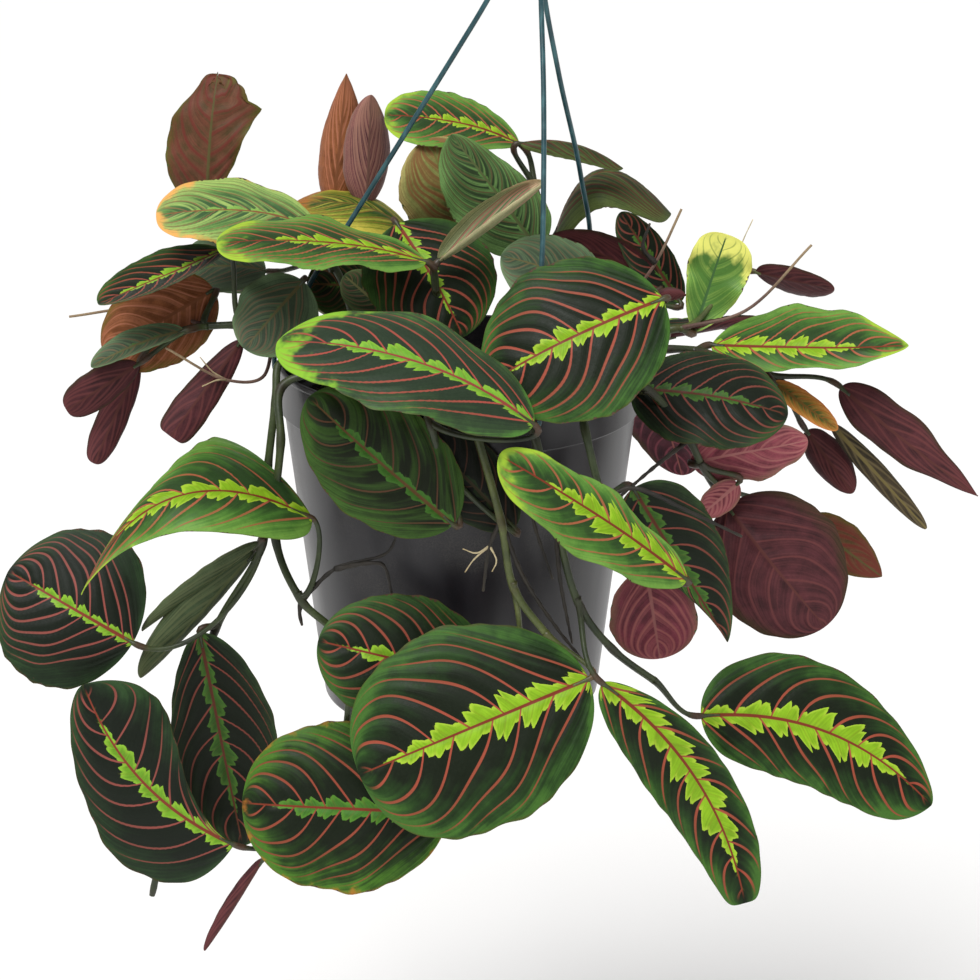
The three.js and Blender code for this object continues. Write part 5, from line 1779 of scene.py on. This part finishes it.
class PRAYERPLANT_OT_hanger(bpy.types.Operator):
    """Adds the coated wires, the crimped neck and the hook"""

    bl_idname = "prayer_plant.hanger"
    bl_label = "Wires and hook"

    def execute(self, context):
        coat = tuple(context.scene.prayer_plant.hanger.coat)
        # the lighter teal is painted sheen along the coated wires
        look = {"Body": coat, "Worn": "#3d6a70", "Dust amount": 0.15, "Scale": 4.0}
        values = finish_values(look)
        coated = finish_of("coated_wire", moulded_effect(), values, bump=0.1, reach=0.0001)
        for side, angle in WIRE_ANGLES.items():
            skin = Skin()
            tube(skin, self.wire_way(side, angle), WIRE_RADIUS, WIRE_SIDES, coated)
            skin.piece(f"wire_{side}", "wire", f"hanger_wire_{side}")
        skin = Skin()
        self.neck(skin, coated)
        self.hook(skin, coated)
        skin.piece("hook_and_neck", "hook", "hook")
        return {"FINISHED"}

    def wire_way(self, side, angle):
        """From inside the neck down to the pot, and through the hole in its collar."""
        points = [
            neck_place(angle, NECK_BOTTOM), neck_place(angle, NECK_BOTTOM - 2), *WIRE_WAY[side],
            at_angle(angle, WIRE_INSIDE, RIM_HOLE_HEIGHT + WIRE_PLUMB),
            at_angle(angle, WIRE_INSIDE, RIM_HOLE_HEIGHT + WIRE_PLUMB / 2),
        ]
        inside = [neck_place(angle, NECK_BOTTOM + depth) for depth in (NECK_DEPTH, 1)]
        way = np.concatenate([inside, curve_through(points, 14), self.rim_hook(angle)])
        return resample(way, WIRE_CELL)[0]

    def rim_hook(self, angle):
        """Down inside the collar, out through its hole and up again."""
        low, bend = RIM_HOLE_HEIGHT, WIRE_TURN
        corner = bend * 0.3
        places = [
            (WIRE_INSIDE, low + bend + 1), (WIRE_INSIDE, low + bend),
            (WIRE_INSIDE + corner, low + corner), (WIRE_INSIDE + bend, low),
            (WIRE_OUTSIDE - bend, low), (WIRE_OUTSIDE - corner, low + corner),
            (WIRE_OUTSIDE, low + bend), (WIRE_OUTSIDE, low + WIRE_UPTURN),
        ]
        return curve_through([at_angle(angle, r, h) for r, h in places], 6)

    def neck(self, skin, coated):
        """The sleeve that grips the wires, crimped round its middle."""
        heights = np.linspace(0, NECK_HEIGHT, 33)
        share = heights / NECK_HEIGHT
        radius = NECK_RADIUS + (NECK_TOP_RADIUS - NECK_RADIUS) * share
        for crimp in NECK_CRIMPS:
            radius = radius - CRIMP_DEPTH * np.exp(-(((share - crimp) / CRIMP_WIDTH) ** 2))
        ends = np.minimum(share, 1 - share)
        radius = radius - 0.7 * (1 - np.clip(ends / 0.06, 0, 1) ** 0.5)
        ends = [(0, NECK_BOTTOM), (0, NECK_BOTTOM + NECK_HEIGHT)]
        profile = [ends[0], *zip(radius, NECK_BOTTOM + heights), ends[1]]
        turned(skin, profile, NECK_SIDES, coated)
        skin.points[-1][:, 0] += ORIGIN[0]

    def hook(self, skin, coated):
        """The bent wire that the plant hangs by."""
        axis, top = ORIGIN[0], NECK_BOTTOM + NECK_HEIGHT
        bend = [at_angle(turn, HOOK_BEND, 0) for turn in range(-55, 201, 15)]
        bend = [(axis + place[0], 0, HOOK_CENTRE + place[1]) for place in bend]
        way = curve_through([(axis, 0, top - 3), (axis, 0, top + 6), *bend], 8)
        way, run = resample(way, HOOK_CELL)
        radius = HOOK_RADIUS * np.clip((run[-1] - run + 0.4) / 1.6, 0.3, 1) ** 0.5
        tube(skin, way, radius, HOOK_SIDES, coated)


class PRAYERPLANT_OT_stage(bpy.types.Operator):
    """Adds the pale floor, the soft light and the camera"""

    bl_idname = "prayer_plant.stage"
    bl_label = "Stage"

    def execute(self, context):
        scene, settings = context.scene, context.scene.prayer_plant.stage
        self.floor(settings.floor)
        self.lights(scene, settings)
        self.camera(scene, settings)
        return {"FINISHED"}

    def floor(self, height):
        mesh = bpy.data.meshes.new("floor")
        corners = [(-1, -1), (1, -1), (1, 1), (-1, 1)]
        points = [(x * FLOOR_SIZE, y * FLOOR_SIZE, height) for x, y in corners]
        mesh.from_pydata(points, [], [(0, 1, 2, 3)])
        material = bpy.data.materials.new("floor_pale")
        material.use_nodes = True
        skin = material.node_tree.nodes["Principled BSDF"]
        skin.inputs["Base Color"].default_value = paint("#fbfaf9")
        skin.inputs["Roughness"].default_value = 0.9
        mesh.materials.append(material)
        floor = bpy.data.objects.new("floor", mesh)
        bpy.context.scene.collection.objects.link(floor)

    def lights(self, scene, settings):
        world = bpy.data.worlds.new("studio")
        world.use_nodes = True
        ground = world.node_tree.nodes["Background"]
        ground.inputs["Color"].default_value = (1.0, 1.0, 1.0, 1.0)
        # the surround looks white to the camera, whatever light it gives
        seen = world.node_tree.nodes.new("ShaderNodeLightPath").outputs["Is Camera Ray"]
        strength = world.node_tree.nodes.new("ShaderNodeMapRange")
        world.node_tree.links.new(seen, strength.inputs["Value"])
        strength.inputs["To Min"].default_value = settings.sky
        world.node_tree.links.new(strength.outputs["Result"], ground.inputs["Strength"])
        scene.world = world
        sun = bpy.data.lights.new("key", "SUN")
        sun.energy, sun.angle = settings.light, math.radians(35)
        rig = [(sun, KEY_PLACE)]
        for name, place, size in (("fill", FILL_PLACE, 1.0), ("back", BACK_PLACE, 0.9)):
            lamp = bpy.data.lights.new(name, "AREA")
            lamp.shape, lamp.size, lamp.energy = "DISK", size, settings.fill
            rig.append((lamp, place))
        for lamp, place in rig:
            light = bpy.data.objects.new(lamp.name, lamp)
            light.location = place
            ahead = Vector(LIGHT_AIM) - Vector(place)
            light.rotation_euler = ahead.to_track_quat("-Z", "Y").to_euler()
            scene.collection.objects.link(light)

    def camera(self, scene, settings):
        lens = bpy.data.cameras.new("camera")
        lens.lens, lens.sensor_width = CAMERA_LENS, 36.0
        lens.clip_start, lens.clip_end = 0.05, 100.0
        camera = bpy.data.objects.new("camera", lens)
        tilt = settings.elevation
        back = Vector((0.0, -math.cos(tilt), math.sin(tilt)))
        camera.location = Vector(CAMERA_AIM) + back * settings.distance
        camera.rotation_euler = (math.pi / 2 - tilt, 0.0, 0.0)
        scene.collection.objects.link(camera)
        scene.camera = camera
        scene.view_settings.view_transform = "Standard"


class PRAYERPLANT_PT_panel(bpy.types.Panel):
    """The plant's settings and pieces in the 3D view's sidebar"""

    bl_idname = "PRAYERPLANT_PT_panel"
    bl_label = "Prayer plant"
    bl_space_type = "VIEW_3D"
    bl_region_type = "UI"
    bl_category = "Prayer plant"

    def draw(self, context):
        plant = context.scene.prayer_plant
        for group in (plant.leaves, plant.pot, plant.hanger, plant.stage):
            box = self.layout.box()
            for label in group.bl_rna.properties.keys():
                if label not in ("rna_type", "name"):
                    box.prop(group, label)
        for operator in OPERATORS:
            self.layout.operator(operator.bl_idname)


SETTINGS = (
    PrayerPlantLeaves, PrayerPlantPot, PrayerPlantHanger, PrayerPlantStage, PrayerPlant,
)
OPERATORS = (
    PRAYERPLANT_OT_stage, PRAYERPLANT_OT_pot, PRAYERPLANT_OT_soil, PRAYERPLANT_OT_hanger,
    PRAYERPLANT_OT_stalks, PRAYERPLANT_OT_leaves,
)


def register():
    for kind in (*SETTINGS, *OPERATORS, PRAYERPLANT_PT_panel):
        bpy.utils.register_class(kind)
    bpy.types.Scene.prayer_plant = bpy.props.PointerProperty(type=PrayerPlant)


def unregister():
    del bpy.types.Scene.prayer_plant
    for kind in reversed((*SETTINGS, *OPERATORS, PRAYERPLANT_PT_panel)):
        bpy.utils.unregister_class(kind)


def main():
    register()
    for operator in OPERATORS:
        family, name = operator.bl_idname.split(".")
        getattr(getattr(bpy.ops, family), name)()


if __name__ == "__main__":
    main()
